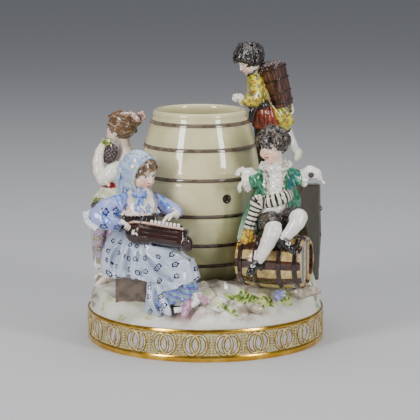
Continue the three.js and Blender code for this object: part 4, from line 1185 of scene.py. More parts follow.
def sprigs(tree, cloth, spacing, size, petals=5, seed=0.0, ring=0.0):
    """Little flowers printed on cloth, as petals or as a ring: shares of print and of eye"""
    moved = add(tree, "ShaderNodeVectorMath", {"operation": "ADD"},
                {0: cloth, 1: (seed, seed * 0.7, 0)}).outputs[0]
    cells = add(tree, "ShaderNodeTexVoronoi", {"voronoi_dimensions": "2D"}, {
        "Vector": moved, "Scale": 1 / spacing, "Randomness": 0.36})
    away = add(tree, "ShaderNodeVectorMath", {"operation": "SUBTRACT"},
               {0: moved, 1: cells.outputs["Position"]}).outputs[0]
    far = add(tree, "ShaderNodeVectorMath", {"operation": "LENGTH"}, {0: away}).outputs["Value"]
    parts = add(tree, "ShaderNodeSeparateXYZ", None, {"Vector": away})
    round_it = add(tree, "ShaderNodeMath", {"operation": "ARCTAN2"}, {
        0: parts.outputs["Y"], 1: parts.outputs["X"]}).outputs[0]
    turn = add(tree, "ShaderNodeMath", {"operation": "MULTIPLY_ADD"}, {
        0: round_it, 1: float(petals), 2: cells.outputs["Color"]}).outputs[0]
    wave = add(tree, "ShaderNodeMath", {"operation": "COSINE"}, {0: turn}).outputs[0]
    reach = add(tree, "ShaderNodeMath", {"operation": "MULTIPLY_ADD"}, {
        0: wave, 1: (0.2 - 0.12 * ring) * size, 2: (0.27 - 0.03 * ring) * size}).outputs[0]
    away_from_row = add(tree, "ShaderNodeMath", {"operation": "SUBTRACT"},
                        {0: far, 1: (0.62 + 0.12 * ring) * size}).outputs[0]
    off = add(tree, "ShaderNodeMath", {"operation": "ABSOLUTE"}, {0: away_from_row}).outputs[0]
    inside = add(tree, "ShaderNodeMath", {"operation": "SUBTRACT"}, {0: reach, 1: off}).outputs[0]
    petal = share_between(tree, inside, -0.06, 0.12)
    eye = share_between(tree, far, 0.28 * size, 0.16 * size)
    return petal, eye


def printed_cloth(name, ground, deep, print_colour, eye_colour, spacing=8.0, size=1.7, second=None,
                  ring=0.0):
    """Painted cloth: a tinted ground, darker in the folds from enamel pooling and painted shade, strewn
    with sprigs
    """
    material, tree, body = glaze(name, 0.08)
    cloth = add(tree, "ShaderNodeAttribute", {"attribute_name": "cloth"}).outputs["Vector"]
    colour = blend(tree, share_between(tree, object_noise(tree, 12), 0.4, 0.7), ground, deep)
    colour = blend(tree, 0.5, colour, ground)
    colour = pooled_and_shaded(tree, colour, deep, 0.9)
    if second:
        petal, eye = sprigs(tree, cloth, spacing * 1.35, size * 1.25, 4, 3.7)
        colour = blend(tree, petal, colour, second)
    petal, eye = sprigs(tree, cloth, spacing, size, 5, 0.0, ring)
    colour = blend(tree, petal, colour, print_colour)
    colour = blend(tree, eye, colour, eye_colour)
    tree.links.new(colour, body.inputs["Base Color"])
    return material


def lay_flat(piece, lean=0.5):
    """Flat cloth coordinates in millimetres, seen from the front"""
    p = points_of(piece)
    store(piece, "cloth", np.stack([p[:, 0] + lean * p[:, 1], p[:, 2] - lean * p[:, 1], 0 * p[:, 0]],
                                   axis=1))


def wrap_round(piece, sections, radius):
    """Cloth coordinates in millimetres going round a body, from the front to both sides"""
    p = points_of(piece)
    rows = np.array(sorted([s[:3] for s in sections], key=lambda s: s[2]), float)
    cx, cy = [np.interp(p[:, 2], rows[:, 2], rows[:, k]) for k in (0, 1)]
    around = np.arctan2(p[:, 0] - cx, -(p[:, 1] - cy))
    out = np.hypot(p[:, 0] - cx, p[:, 1] - cy)
    store(piece, "cloth", np.stack([around * radius, p[:, 2] - 0.6 * out, 0 * out], axis=1))


for piece in (girl_hood, girl_scarf):
    lay_flat(piece, 0.3)
    piece.data.materials.append(printed_cloth(
        "pale blue painted hood cloth, blue flowers" + piece.name, "#bcc8dc", "#7489b2", "#8ba3cf",
        "#a9bad6",
        8.0, 2.4, "#a9bd9e"))
for piece in (girl_hair, girl_hood, girl_scarf):
    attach(piece, "root")
    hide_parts("porcelain_group")

# Seated girl's bodice. Lavender cloth with dark sprigs; wide sleeves puffed to the elbow, the
# left one ending in a cuff above the keys and the right one carried round to the crank.
def curve_through(path, step=1.6):
    """Points of a smooth line through a few given ones, with any further values carried along"""
    path = np.array(path, float)
    ends = np.vstack([2 * path[0] - path[1], path, 2 * path[-1] - path[-2]])
    out = []
    for k in range(1, len(ends) - 2):
        a, b, c, d = ends[k - 1:k + 3]
        count = max(2, int(np.linalg.norm((c - b)[:3]) / step))
        for t in np.linspace(0, 1, count, endpoint=False):
            out.append(0.5 * (2 * b + (c - a) * t + (2 * a - 5 * b + 4 * c - d) * t * t
                              + (3 * b - a - 3 * c + d) * t ** 3))
    out.append(path[-1])
    return np.array(out)


def front_of(clay, x, z):
    """How far forward the clay stands at a place seen from the front, or None"""
    y = np.linspace(-95, 60, 621)
    nearest = np.full(len(y), 9.0)
    for low, high, shape, soft, cut in clay.forms:
        if not cut and low[0] <= x <= high[0] and low[2] <= z <= high[2]:
            near = shape(np.array([[[x]]]), y.reshape(1, -1, 1), np.array([[[z]]])).ravel()
            nearest = np.minimum(nearest, near)
    hits = np.nonzero(nearest < 0)[0]
    return y[hits[0]] if len(hits) else None


def fold(clay, path, thick=1.5, soft=2.2, cut=False):
    """A raised fold laid along the front of cloth; path is x, z in millimetres"""
    line = curve_through(path, 1.8)
    stations = []
    for k, (x, z) in enumerate(line):
        y = front_of(clay, x, z)
        if y is not None:
            r = thick * (0.4 + 0.6 * math.sin(math.pi * (k + 0.5) / len(line)))
            stations.append((x, y + (0.35 if not cut else -0.2) * r, z, r))
    if len(stations) > 1:
        clay.limb(stations, soft, cut)


def frill(clay, path, outward, width, pitch=1.5, thick=0.62, wave=0.5):
    """Gathered frill: a thin band standing out from a line, rippled more and more to its edge"""
    line = curve_through(path, 0.55)
    outward = np.array(outward, float)
    run = 0.0
    for k, at in enumerate(line):
        ahead = line[min(k + 1, len(line) - 1)] - line[max(k - 1, 0)]
        run += np.linalg.norm(at - line[max(k - 1, 0)])
        way = outward if outward.ndim == 1 else np.array(
            [np.interp(k / (len(line) - 1), np.linspace(0, 1, len(outward)),
                       outward[:, j]) for j in range(3)])
        way = unit(way - unit(ahead) * (unit(ahead) @ way) * 0.6)
        beat = math.pi * run / pitch + 0.8 * math.sin(run / 3.1)
        rise = np.cross(unit(ahead), way) * wave * 1.7 * math.sin(beat)
        reach = width * (1 + 0.08 * math.cos(beat))
        clay.limb([tuple(at) + (thick * 0.9,),
                   tuple(at + way * reach * 0.5 + rise * 0.45) + (thick * 0.75,),
                   tuple(at + way * reach + rise) + (thick * 0.75,)], 0.3)


def creases(clay, lines, radii, soft):
    """Raised creases over sleeves and knees, each line with the same run of radii"""
    for line in lines:
        clay.limb([tuple(p) + (r,) for p, r in zip(line, radii)], soft)

clay = Clay(0.42)
clay.drape([(-52, -41.5, 84, 10.4, 8.6, -45, 0.02), (-51, -42, 97, 10.8, 8.8, -45, 0.02),
            (-50.4, -42.4, 108, 12.4, 9.2, -45, 0), (-48.6, -42.2, 113, 9.4, 8, -45, 0),
            (-46.6, -42, 117, 6.4, 6, 0, 0)], [(7, 0, 1)], 1.5)
clay.limb([(-57, -46, 109.5, 5.4), (-63, -49.5, 106, 7.0), (-70.5, -50.8, 102.4, 7.9),
           (-76.5, -51.4, 98.4, 7.0)], 2.2)
clay.limb([(-78, -50.4, 98.8, 4.4), (-72, -54.5, 95.2, 5.8), (-65.5, -58, 94.4, 4.6),
           (-62, -59, 94.8, 3.4)], 2.6)
clay.limb([(-43, -35.5, 109, 5.4), (-36, -36.6, 106.6, 6.2), (-28.6, -38.4, 103.4, 5.6),
           (-22, -42.4, 101.2, 4.6),
           (-19.4, -46.6, 100.4, 3.7)], 1.4)
creases(clay, (((-58, -52, 112), (-66, -57.4, 107), (-74, -57.8, 102)),
               ((-60, -54.6, 105), (-67, -57.8, 101), (-72, -57.6, 96)),
               ((-66, -48, 112), (-74, -50, 108), (-80.5, -51, 101)),
               ((-69, -58.4, 98.6), (-66, -60.5, 94.6), (-62, -61, 94))), (0.8, 1.4, 1.0), 2.0)
creases(clay, (((-38, -41.6, 104), (-28, -43, 99.4)), ((-33, -35, 110), (-24, -40, 105)),
               ((-40, -40, 110), (-30, -42, 106))), (0.7, 1.1), 1.6)
girl_bodice = clay.skin("girl_bodice")
lay_flat(girl_bodice)
girl_bodice.data.materials.append(printed_cloth(
    "lavender painted bodice, indigo sprigs", "#9ba5da", "#5a60a4", "#22265a", "#363c7a", 9.4, 2.7,
    "#4a78cc", 0.6))
clay = Clay(0.36)
frill(clay, [(-76, -57.5, 92.6), (-79.6, -54.4, 94.2), (-82.4, -50.4, 97.2), (-83.2, -46.6, 101)],
      [(-0.5, -0.6, -0.7), (-0.9, -0.1, -0.3)], 4.2, 1.3, 0.72, 0.55)
clay.limb([(-74.4, -55.4, 92.8, 3.2), (-79, -51.6, 96.2, 3.4), (-81, -47, 100.2, 3.0)], 1.4)
frill(clay, [(-21.6, -47.4, 96.2), (-19.2, -49.8, 97.6), (-19.6, -50.6, 101.6), (-22.2, -49, 103.8)],
      [(-0.5, -0.8, -0.3), (-0.4, -0.9, 0.1)], 2.0, 1.2, 0.55, 0.4)
girl_cuffs = clay.skin("girl_cuff_frills")
# Painted shade: grey-lilac in the hollows of the white frills, partly enamel pooling
white_frill = mottled("white glazed frills, lined with pale lilac", 0.07, 6, "#f1efe8", "#dcdbe2",
                      "#b3a8b8", between=(0.42, 0.66), amount=0.9)
girl_cuffs.data.materials.append(white_frill)
for piece in (girl_bodice, girl_cuffs):
    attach(piece, "root")
    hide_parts("porcelain_group")

# Seated girl's neckerchief. A cream cape over the shoulders falling in soft radial folds to a
# pinched frill, painted with large blue flowers, and the hood's blue bow tied over it.
CAPE = (-48.8, -45.4, 103.2)
clay = Clay(0.38)
clay.drape([(-48.8, -45.4, 102.6, 14.2, 12.0, -30, 0.05), (-48.4, -44.8, 108, 13.6, 11.4, -30, 0.045),
            (-47.8, -43.8, 113, 10.8, 9.4, -30, 0.035), (-46.2, -42.8, 118.6, 6.2, 6.0, -45, 0.01)],
           [(9, 0.4, 1), (16, 1, 0.4)], 1.4, False, 0.8)
cape_hem, cape_out = [], []
for a in np.radians(np.arange(168, 372, 12)):
    way = (math.cos(a), math.sin(a))
    cape_hem.append((CAPE[0] + 13.7 * way[0], CAPE[1] + 12.0 * way[1], CAPE[2]))
    cape_out.append((0.5 * way[0], 0.5 * way[1], -0.9))
frill(clay, cape_hem, cape_out, 3.4, 1.35, 0.8, 0.55)
girl_kerchief = clay.skin("girl_neckerchief")
lay_flat(girl_kerchief)
girl_kerchief.data.materials.append(printed_cloth(
    "cream neckerchief, blue flowers and a warm edge", "#efe7da", "#c2ad92", "#6a88c8", "#b9c8e6", 8.8, 2.9,
    "#d3b6ae"))
clay = Clay(0.34)
for side in (-1, 1):
    clay.limb([(-46.8, -54.8, 113.8, 1.2), (-46.8 + 2.6 * side, -55, 115.2, 1.9, 0.8),
               (-46.8 + 4.4 * side, -54.2, 114, 1.6, 0.8)], 0.7)
    clay.limb([(-46.8, -55, 113.4, 1.0), (-46.8 + 1.6 * side, -56.6, 110.6, 1.4, 0.6),
               (-46.8 + 2.4 * side, -57.4, 108, 1.5, 0.5)], 0.6)
clay.ball((-46.8, -55.6, 113.8), 1.6, None, 0.4)
girl_bow = clay.skin("girl_hood_bow")
cornflower = mottled("cornflower-blue enamel bow", 0.08, 3, "#5d80cc", "#a6b8e2", "#2f4688",
                     between=(0.42, 0.62))
girl_bow.data.materials.append(cornflower)
for piece in (girl_kerchief, girl_bow):
    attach(piece, "root")
    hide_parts("porcelain_group")

# Seated girl's skirt. A full overskirt drawn across the knees with deep sweeping folds and a
# lifted corner, in pale grey-blue with indigo sprigs.
LAP = [(-52, -41, 92, 9.5, 8, 0, 0.02), (-51, -42, 84, 17, 13, -14, 0.035),
       (-46, -45, 76, 27, 16.5, -15, 0.04),
       (-42, -46.5, 64, 33, 19, -14, 0.045), (-41, -46.5, 55, 34, 20, -13, 0.055)]
FALL = [(-24, -52, 68, 16, 14, -12, 0.03), (-22.5, -53.5, 56, 18, 15.5, -12, 0.05),
        (-23, -55, 41, 18.8, 15.5, -10, 0.07), (-27, -56, 30, 17, 14, -10, 0.07)]
clay = Clay(0.5)
clay.drape(LAP, [(7, 1.1, 1), (13, 2.2, 0.45)], 1.5, False, 1.2)
clay.drape(FALL, [(5, 0.4, 1), (9, 1.2, 0.5)], 4.0, False, 1.0)
for path, thick in (([(-52.5, 80), (-57.5, 70), (-61.8, 58)], 2.0),
                    ([(-56, 82), (-65, 73), (-69.4, 60)], 2.0),
                    ([(-50.4, 77), (-46.8, 66), (-38.9, 57.5), (-28, 52.5)], 2.4),
                    ([(-46, 81), (-36, 76), (-24, 73), (-13.3, 64), (-9.4, 53)], 2.4),
                    ([(-43, 76), (-32, 66), (-20.4, 57)], 2.0),
                    ([(-39.7, 54), (-38.6, 41), (-34, 31)], 1.9),
                    ([(-34, 52), (-30, 41), (-25.4, 31)], 1.8), ([(-48, 70), (-52, 62), (-50, 56)], 1.4),
                    ([(-16, 70), (-8, 60), (-6, 50)], 1.6), ([(-30, 60), (-22, 50), (-14, 46)], 1.5)):
    fold(clay, path, thick, 2.4)
for path, thick in (([(-60, 80), (-66, 68), (-65, 57)], 1.5), ([(-54, 76), (-56, 64), (-54.5, 55)], 2.0),
                    ([(-40, 70), (-33, 60), (-24, 55)], 1.7), ([(-36.4, 48), (-34.6, 38), (-30, 30)], 1.5),
                    ([(-48, 74), (-46, 64), (-45, 56)], 1.7)):
    fold(clay, path, thick, 1.6, True)


def lifted_corner(X, Y, Z):
    """Wedge where the overskirt is drawn aside, negative inside"""
    under = (Z - 46 - 0.32 * (X + 31.7)) / 1.05
    aside = -(X + 31.4 - 0.95 * (46 - Z) + 0.03 * (46 - Z) ** 2) / 1.3
    return np.maximum(under, aside) + 0 * Y


clay.put((-34, -80, 20), (10, -40, 60), lifted_corner, 0.8, True)
girl_skirt = clay.skin("girl_skirt")
wrap_round(girl_skirt, [(-40, -46, 20), (-44, -44, 90)], 27)
girl_skirt.data.materials.append(printed_cloth(
    "pale grey-blue painted overskirt, indigo sprigs", "#c6cee0", "#7c8aa4", "#1a1c40", "#2a2d58", 9.4, 2.2,
    None, 1.0))
clay = Clay(0.45)
clay.drape([(x, y, z, rx - 1.5, ry - 1.5, turn, fold_size) for x, y, z, rx, ry, turn, fold_size in FALL],
           [(9, 0.6, 0.5), (14, 1, 0.4)], 3)
for path in ([(-24, 50), (-18, 42), (-16, 34)], [(-16, 52), (-12, 44), (-11, 36)],
             [(-8, 54), (-7, 46), (-7.4, 38)]):
    fold(clay, path, 1.5, 1.4)
clay.put((-60, -90, 0), (20, -20, 45), lambda X, Y, Z: (Z - 39 - 0.30 * (X + 20)) + 0 * Y, 0.6, True)
girl_underskirt = clay.skin("girl_underskirt")
store(girl_underskirt, "cloth", points_of(girl_underskirt) @ np.array([[1, 0.4, 0], [0.3, -0.2, 0],
    [-0.35, 1, 0]]))
under_paint, tree, body = glaze("blue striped underskirt with yellow-green flowers", 0.08)
cloth = add(tree, "ShaderNodeAttribute", {"attribute_name": "cloth"}).outputs["Vector"]
across = add(tree, "ShaderNodeSeparateXYZ", None, {"Vector": cloth}).outputs["Y"]
line = add(tree, "ShaderNodeMath", {"operation": "SINE"}, {
    0: add(tree, "ShaderNodeMath", {"operation": "MULTIPLY"}, {0: across, 1: 1.45}).outputs[0]}).outputs[0]
colour = blend(tree, share_between(tree, line, -0.2, 0.5), "#7490c8", "#4462ac")
colour = blend(tree, share_between(tree, line, 0.75, 0.95), colour, "#7a5bb0")
petal, eye = sprigs(tree, cloth, 5.0, 1.5, 4)
colour = blend(tree, petal, colour, "#9db36a")
tree.links.new(pooled_and_shaded(tree, colour, "#2e3e72"), body.inputs["Base Color"])
girl_underskirt.data.materials.append(under_paint)
clay = Clay(0.4)
clay.drape([(-14, -56, 45, 11, 9, -12, 0.05), (-14, -57, 36, 11.6, 10, -12, 0.09)], [(9, 0, 1)], 1.5)
frill(clay, [(-22, -68.6, 35), (-16, -69, 36), (-10, -67.4, 38.4), (-6, -63.4, 41), (-4, -58, 43)],
      (0.3, -0.5, -0.9), 3.2, 1.3, 0.7, 0.5)
girl_petticoat = clay.skin("girl_petticoat")
girl_petticoat.data.materials.append(white_frill)
clay = Clay(0.34)
for stations, bow in (([(-10.6, -61, 40, 3.6), (-13.0, -68, 35.6, 3.7, 0.95),
                        (-15.0, -73.6, 32.0, 2.9, 0.8),
                        (-15.8, -76.0, 30.8, 1.6, 0.8)], (-13.4, -71, 37.2)),
                      ([(-8, -59, 41.5, 3.2), (-4, -61, 40.2, 3.2, 0.9), (0.6, -62.6, 38.8, 2.4, 0.8),
                        (3.0, -63.2, 38.2, 1.4, 0.8)], (-3.2, -63.4, 41.6))):
    clay.limb(stations, 0.8)
    clay.ball(bow, (1.6, 1.2, 1.0), None, 0.3)
    x, y, z = stations[0][:3]
    clay.limb([(x, y, z - 1.6, 2.2), (x + 0.4, y + 0.6, z - 4.2, 1.5)], 0.6)
girl_shoes = clay.skin("girl_shoes")
rose = mottled("rose-lilac enamel shoes", 0.08, 4, "#a97893", "#cda6b8", "#7a4664", between=(0.4, 0.62))
girl_shoes.data.materials.append(rose)
for piece in (girl_skirt, girl_underskirt, girl_petticoat, girl_shoes):
    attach(piece, "root")
    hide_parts("porcelain_group")

# Hurdy-gurdy. The girl's instrument lies on her lap: a bellied brown body with a paler edge, a
# square head, a keybox with eight white keys, a wheel cover, and a crank at its tail.
FIDDLE_TURN = turned_matrix(0, 7, -6) @ turned_matrix(-24, 0, 0)
FIDDLE_AT = (-35.4, -60, 86.6)
clay = Clay(0.36)
clay.ball((-11.5, 0, -0.5), (10.4, 6.2, 8.4), None, 1)
clay.block((4, 0, -0.8), (34, 11.6, 12.4), None, 2.4, 3)
clay.limb([(19.5, 0, -1, 5.2), (22.6, 0, -2.4, 4.4), (24, 0.4, -6, 3.2)], 1.0)
clay.limb([(22.6, -4.6, -2, 1.0), (22.6, 4.6, -2, 1.0)], 0.4)
for z in (-4.5, -1.2, 2.1):
    clay.limb([(-14, -6.6, z, 0.3), (16, -6.2, z, 0.3)], 0.5)
fiddle = clay.skin("hurdy_gurdy_body")
seat(fiddle, FIDDLE_AT, FIDDLE_TURN, 1.0)
clay = Clay(0.34)
clay.limb([(-21, -1, 5.4, 0.9), (-16, -5.4, 5.9, 0.9), (-8, -6.6, 6.0, 0.9), (4, -6.3, 5.7, 0.9),
           (19, -6.2, 5.4, 0.9),
           (19.8, 5.6, 5.4, 0.9), (0, 6.2, 5.8, 0.9), (-14, 5.6, 5.9, 0.9), (-21, 1, 5.4, 0.9)], 0.3)
fiddle_edge = clay.skin("hurdy_gurdy_binding")
seat(fiddle_edge, FIDDLE_AT, FIDDLE_TURN, 1.0)
clay = Clay(0.32)
clay.block((6, 0.8, 7.2), (25, 6.4, 3.6), None, 0.7)
clay.limb([(-11, -4.5, 6.4, 2.6), (-11, -1.8, 9.4, 3.0), (-11, 1.8, 9.4, 3.0), (-11, 4.5, 6.4, 2.6)], 0.8)
clay.block((-6.5, 0.5, 9.6), (13, 8, 9), None, 2.6)
clay.block((-19.5, -0.5, 8.4), (12, 7, 6.4), turned_matrix(0, 14, 0), 2.2)
for x in (-10, -3):
    clay.ball((x, -3.4, 14), 1.4, None, 0.6)
clay.block((20.4, 0, 2.2), (5.6, 9.6, 7.4), None, 1.0)
clay.limb([(-20, 0, 1, 0.9), (-24.5, 0, 1, 0.8), (-24.6, 0.4, 6.4, 0.8), (-26.4, 0.4, 6.8, 1.2)], 0.3)
clay.limb([(18.5, 0, 5.6, 1.0), (21.4, 0, 6.4, 1.0), (22.4, 0, 3.4, 1.0)], 0.5)
fiddle_box = clay.skin("hurdy_gurdy_keybox")
seat(fiddle_box, FIDDLE_AT, FIDDLE_TURN, 1.0)
clay = Clay(0.3)
for k in range(8):
    clay.block((-3.6 + 2.75 * k, -3.9, 7.6), (2.0, 5.0, 2.6), None, 0.3, 0.1)
clay.block((6, -2.0, 6.5), (24, 2.4, 1.2), None, 0.3, 0.2)
fiddle_keys = clay.skin("hurdy_gurdy_keys")
seat(fiddle_keys, FIDDLE_AT, FIDDLE_TURN, 1.0)
walnut, tree, body = glaze("walnut-brown enamel, streaked along the body", 0.12)
streak = brushed(tree, (0.15, 1, 1), 520)
colour = blend(tree, share_between(tree, streak, 0.35, 0.66), "#1d0e09", "#381c14")
tree.links.new(pooled_and_shaded(tree, colour, "#180c08"), body.inputs["Base Color"])
fiddle.data.materials.append(walnut)
black_brown = mottled("black-brown enamel on keybox and crank", 0.07, 4, "#15100e", "#2e2522")
fiddle_box.data.materials.append(black_brown)
ivory = mottled("ivory-white enamel keys", 0.07, 4, "#f3efe6", "#ddd4c6", "#8a7a6a")
fiddle_keys.data.materials.append(ivory)
binding = mottled("pinkish cream enamel binding", 0.08, 5, "#d8b6a6", "#c69a88")
fiddle_edge.data.materials.append(binding)
for piece in (fiddle, fiddle_edge, fiddle_box, fiddle_keys):
    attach(piece, "root")
    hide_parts("porcelain_group")

# Boy on the keg: head, neck and hands. He looks to the viewer's left, with one hand held out
# to the barrel and one on the board. Curls are carved all over his head and painted grey-brown.
BOY_AT = (48.6, -38.4, 147.6)
BOY_SIZE = 0.95
BOY_TURN = turned_matrix(-7, 0, 144)
boy_head = child_head("boy_head", BOY_AT, BOY_TURN, BOY_SIZE,
                      [(50.2, -36.6, 136, 5.0), (50, -36.4, 129, 6.0)])
clay = Clay(0.32)
clay.limb([(34, -41, 122.6, 3.0), (29, -44.2, 122.8, 2.6)], 0.6)
hand(clay, (30.2, -43.4, 122.8), (-0.8, -0.4, -0.3), (-0.1, -0.3, -0.9), 1, 0.62, 1.3)
clay.limb([(66, -33.6, 123.4, 3.2), (71, -34.6, 125.2, 2.6)], 0.6)
hand(clay, (70.4, -34.6, 125.2), (0.85, -0.2, 0.25), (0.1, -0.5, -0.8), 1, 0.7, 1.1)
boy_hands = clay.skin("boy_hands")
boy_flesh = flesh_enamel("flesh enamel, grey eyes and dark brows", "#3d3a38", "#4a3a30")
for piece in (boy_head, boy_hands):
    piece.data.materials.append(boy_flesh)


def hairline(d, rise=0.0):
    """True where hair grows on a boy's scalp, uneven over the brow"""
    ragged = 0.12 * math.sin(17 * d[0] + 4) * (d[1] > 0.2)
    return d[2] > np.interp(d[1], [-1, 0, 0.4, 1], [-0.9, -0.65, 0.05, 0.36]) + ragged + rise


clay = Clay(0.32)
clay.ball((0, -1.0, 3.4), (10.6, 11.0, 10.4))
clay.ball((0, 8.2, -4.4), (8.2, 8.6, 8.4), None, 0.4, True)
locks(clay, (0, -1.0, 3.4), (10.8, 11.2, 10.6), 150, hairline)
boy_hair = clay.skin("boy_hair")
seat(boy_hair, BOY_AT, BOY_TURN, BOY_SIZE)
boy_hair.data.materials.append(hair_enamel("grey-brown hair enamel in brush strokes", "#1f1712", "#6a5b4d"))
for piece in (boy_head, boy_hands, boy_hair):
    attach(piece, "root")
    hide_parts("porcelain_group")

# Boy's shirt and waistcoat. White linen with a pleated collar, a frilled front and lace at both
# wrists; the waistcoat below bulges over the belt.
clay = Clay(0.42)
clay.drape([(50, -36, 86, 12, 10.6, 8), (49.4, -38, 98, 11.2, 10.8, 8), (49.8, -37.2, 109, 10.4, 9.4, 8),
            (50, -36.4, 122, 11.4, 8.0, 8), (50, -36.2, 129, 8.6, 6.4, 8)], [], 1.2)
clay.ball((49.6, -41.6, 102.6), (9.0, 7.4, 6.2), None, 2.4)
clay.limb([(50, -42, 131, 3.4, 0.8), (50.2, -44.2, 122, 4.2, 0.7), (50.4, -45.4, 113, 3.2, 0.7)], 1.6)
for k, z in enumerate(np.linspace(128.6, 112.4, 8)):
    sway = 0.9 * math.sin(k * 2.2)
    y = -44.6 - 0.13 * (128 - z)
    clay.limb([(45.2 + sway, y + 1.4, z + 1.0, 0.8), (48.2, y - 0.9, z - 0.5, 1.05),
               (50.6 + sway, y - 1.9, z + 0.5, 1.1),
               (53.2, y - 1.0, z - 0.6, 1.05), (56 + sway, y + 1.2, z + 0.9, 0.8)], 0.45)
collar = [(41.6, -36.8, 130.6), (44.2, -42.6, 130.4), (50, -45.2, 129.8), (56, -43, 130.8),
          (59.6, -37.4, 132.4),
          (57.4, -31.6, 134), (50.4, -29.6, 134.6), (43.6, -31.4, 133)]
out = [(-1, -0.1, 0.5), (-0.7, -0.8, 0.4), (0, -1, 0.2), (0.7, -0.8, 0.5), (1, 0, 0.7), (0.6, 0.8, 0.6),
       (0, 1, 0.6), (-0.6, 0.8, 0.6)]
frill(clay, collar + [collar[0]], out + [out[0]], 2.9, 1.45, 0.85, 0.5)
clay.drape([(50.2, -37.2, 127.6, 9.4, 8.2, 8, 0), (50.2, -37.2, 133.6, 7.6, 7.0, 8, 0)], [], 1.4)
frill(clay, [(35.4, -40.6, 127.4), (31.4, -43.6, 127.6), (30.4, -46.6, 124.2), (31.4, -45.8, 120),
             (33.6, -42.6, 117.8)],
      [(-0.7, -0.2, 0.7), (-1, -0.3, 0.2), (-0.9, -0.3, -0.5)], 4.4, 1.35, 0.8, 0.55)
clay.limb([(36, -39, 126.4, 3.0), (31.4, -42.6, 128.6, 2.6, 0.8), (27.4, -44.6, 130.2, 2.2, 0.8)], 1.2)
frill(clay, [(28, -44, 131), (25, -46, 130), (24, -47, 127.4)], [(-0.6, -0.4, 0.4), (-1, -0.3, -0.2)], 2.4,
      1.2, 0.7, 0.4)
frill(clay, [(68.4, -33, 128.4), (69.6, -36.6, 126.6), (69.8, -38, 123.2), (68.8, -36.4, 119.8),
             (67.8, -32.6, 118.8)],
      [(1, 0, 0.4), (1, -0.3, 0), (1, -0.1, -0.4)], 3.8, 1.35, 0.8, 0.5)
boy_shirt = clay.skin("boy_shirt_and_waistcoat")
# Painted shade: grey in the folds of the white linen, partly enamel pooling
linen = mottled("white glazed linen with a faint blue-grey wash", 0.07, 7, "#f2ede3", "#e2deda", "#a9a8a4",
                between=(0.4, 0.7), amount=0.9)
boy_shirt.data.materials.append(linen)
clay = Clay(0.36)
clay.limb([(71.4, -35, 125.6, 3.9), (75.6, -35.8, 127.8, 4.9), (79.6, -36.2, 126.8, 4.0),
           (82.2, -36.4, 124, 2.2)], 1.2)
clay.limb([(82.2, -36.6, 124.6, 0.7), (84.4, -36.8, 121.6, 0.6)], 0.4)
clay.ball((85.2, -36.8, 120.4), (1.3, 1.0, 1.2), None, 0.4)
for lean in (-0.9, 0, 0.9):
    clay.limb([(72, -38.4, 126 + 2.2 * lean, 0.6), (76.4, -40.0, 127.6 + 2.6 * lean, 0.8),
               (80.6, -39, 126 + 2 * lean, 0.6)], 1.0)
boy_cap = clay.skin("boy_cap")
boy_cap.data.materials.append(linen)
clay = Clay(0.3)
for k in range(8):
    a = k * math.pi / 4
    clay.ball((75.9 + 1.5 * math.cos(a), -40.6, 126.6 + 1.5 * math.sin(a)), (0.85, 0.7, 0.85), None, 0.2)
clay.ball((75.9, -41, 126.6), 0.9, None, 0.2)
rosette = clay.skin("boy_cap_rosette")
dark_rose = mottled("near-black violet enamel rosette", 0.08, 1.5, "#2b2233", "#4a3a44", "#14101a")
rosette.data.materials.append(dark_rose)
for piece in (boy_shirt, boy_cap, rosette):
    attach(piece, "root")
    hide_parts("porcelain_group")

# Boy's jacket. Green cloth worn open, its skirts swept back on both sides, with a narrow
# braided edge and a row of dots beside it.
JACKET_LEFT = ([84, 100, 108, 116, 126, 134], [33, 40, 43.4, 45, 43.6, 42])
JACKET_RIGHT = ([84, 100, 110, 119, 130, 137], [63, 59.4, 56.6, 55.6, 57, 58.4])
clay = Clay(0.42)
clay.drape([(50, -34, 86, 14, 12.4, 8, 0.02), (49.6, -35.4, 98, 13, 12.2, 8, 0.02),
            (49.8, -35.6, 110, 12.4, 11.2, 8, 0),
            (50, -35.4, 122, 13.2, 9.4, 8, 0), (50, -35.2, 128.4, 11, 7.6, 8, 0),
            (50.2, -35.4, 131.4, 8, 6.6, 8, 0)],
           [(9, 0.4, 1)], 1.4)
clay.drape([(31.4, -30, 78, 9, 4.6, 24, 0.1), (34.4, -31.4, 90, 9.4, 5.4, 24, 0.08),
            (38.6, -33.6, 104, 8.4, 6, 20, 0.05),
            (42.6, -35.4, 118, 6.4, 6.4, 20, 0.02), (44.6, -36, 126, 5, 5.6, 20, 0)], [(5, 0.2, 1)], 2.4,
            False, 1.2)
clay.limb([(60, -31, 122, 4.6, 0.8), (62.6, -29, 106, 6, 0.7), (62, -28.4, 88, 6, 0.7)], 2.4)


def jacket_opening(X, Y, Z):
    """Where the jacket hangs open over the shirt, negative inside"""
    at = Z.ravel()
    left = np.interp(at, *JACKET_LEFT)[None, None, :]
    right = np.interp(at, *JACKET_RIGHT)[None, None, :]
    return np.maximum(np.maximum(left - X, X - right), Y + 38.5 + 0 * X)


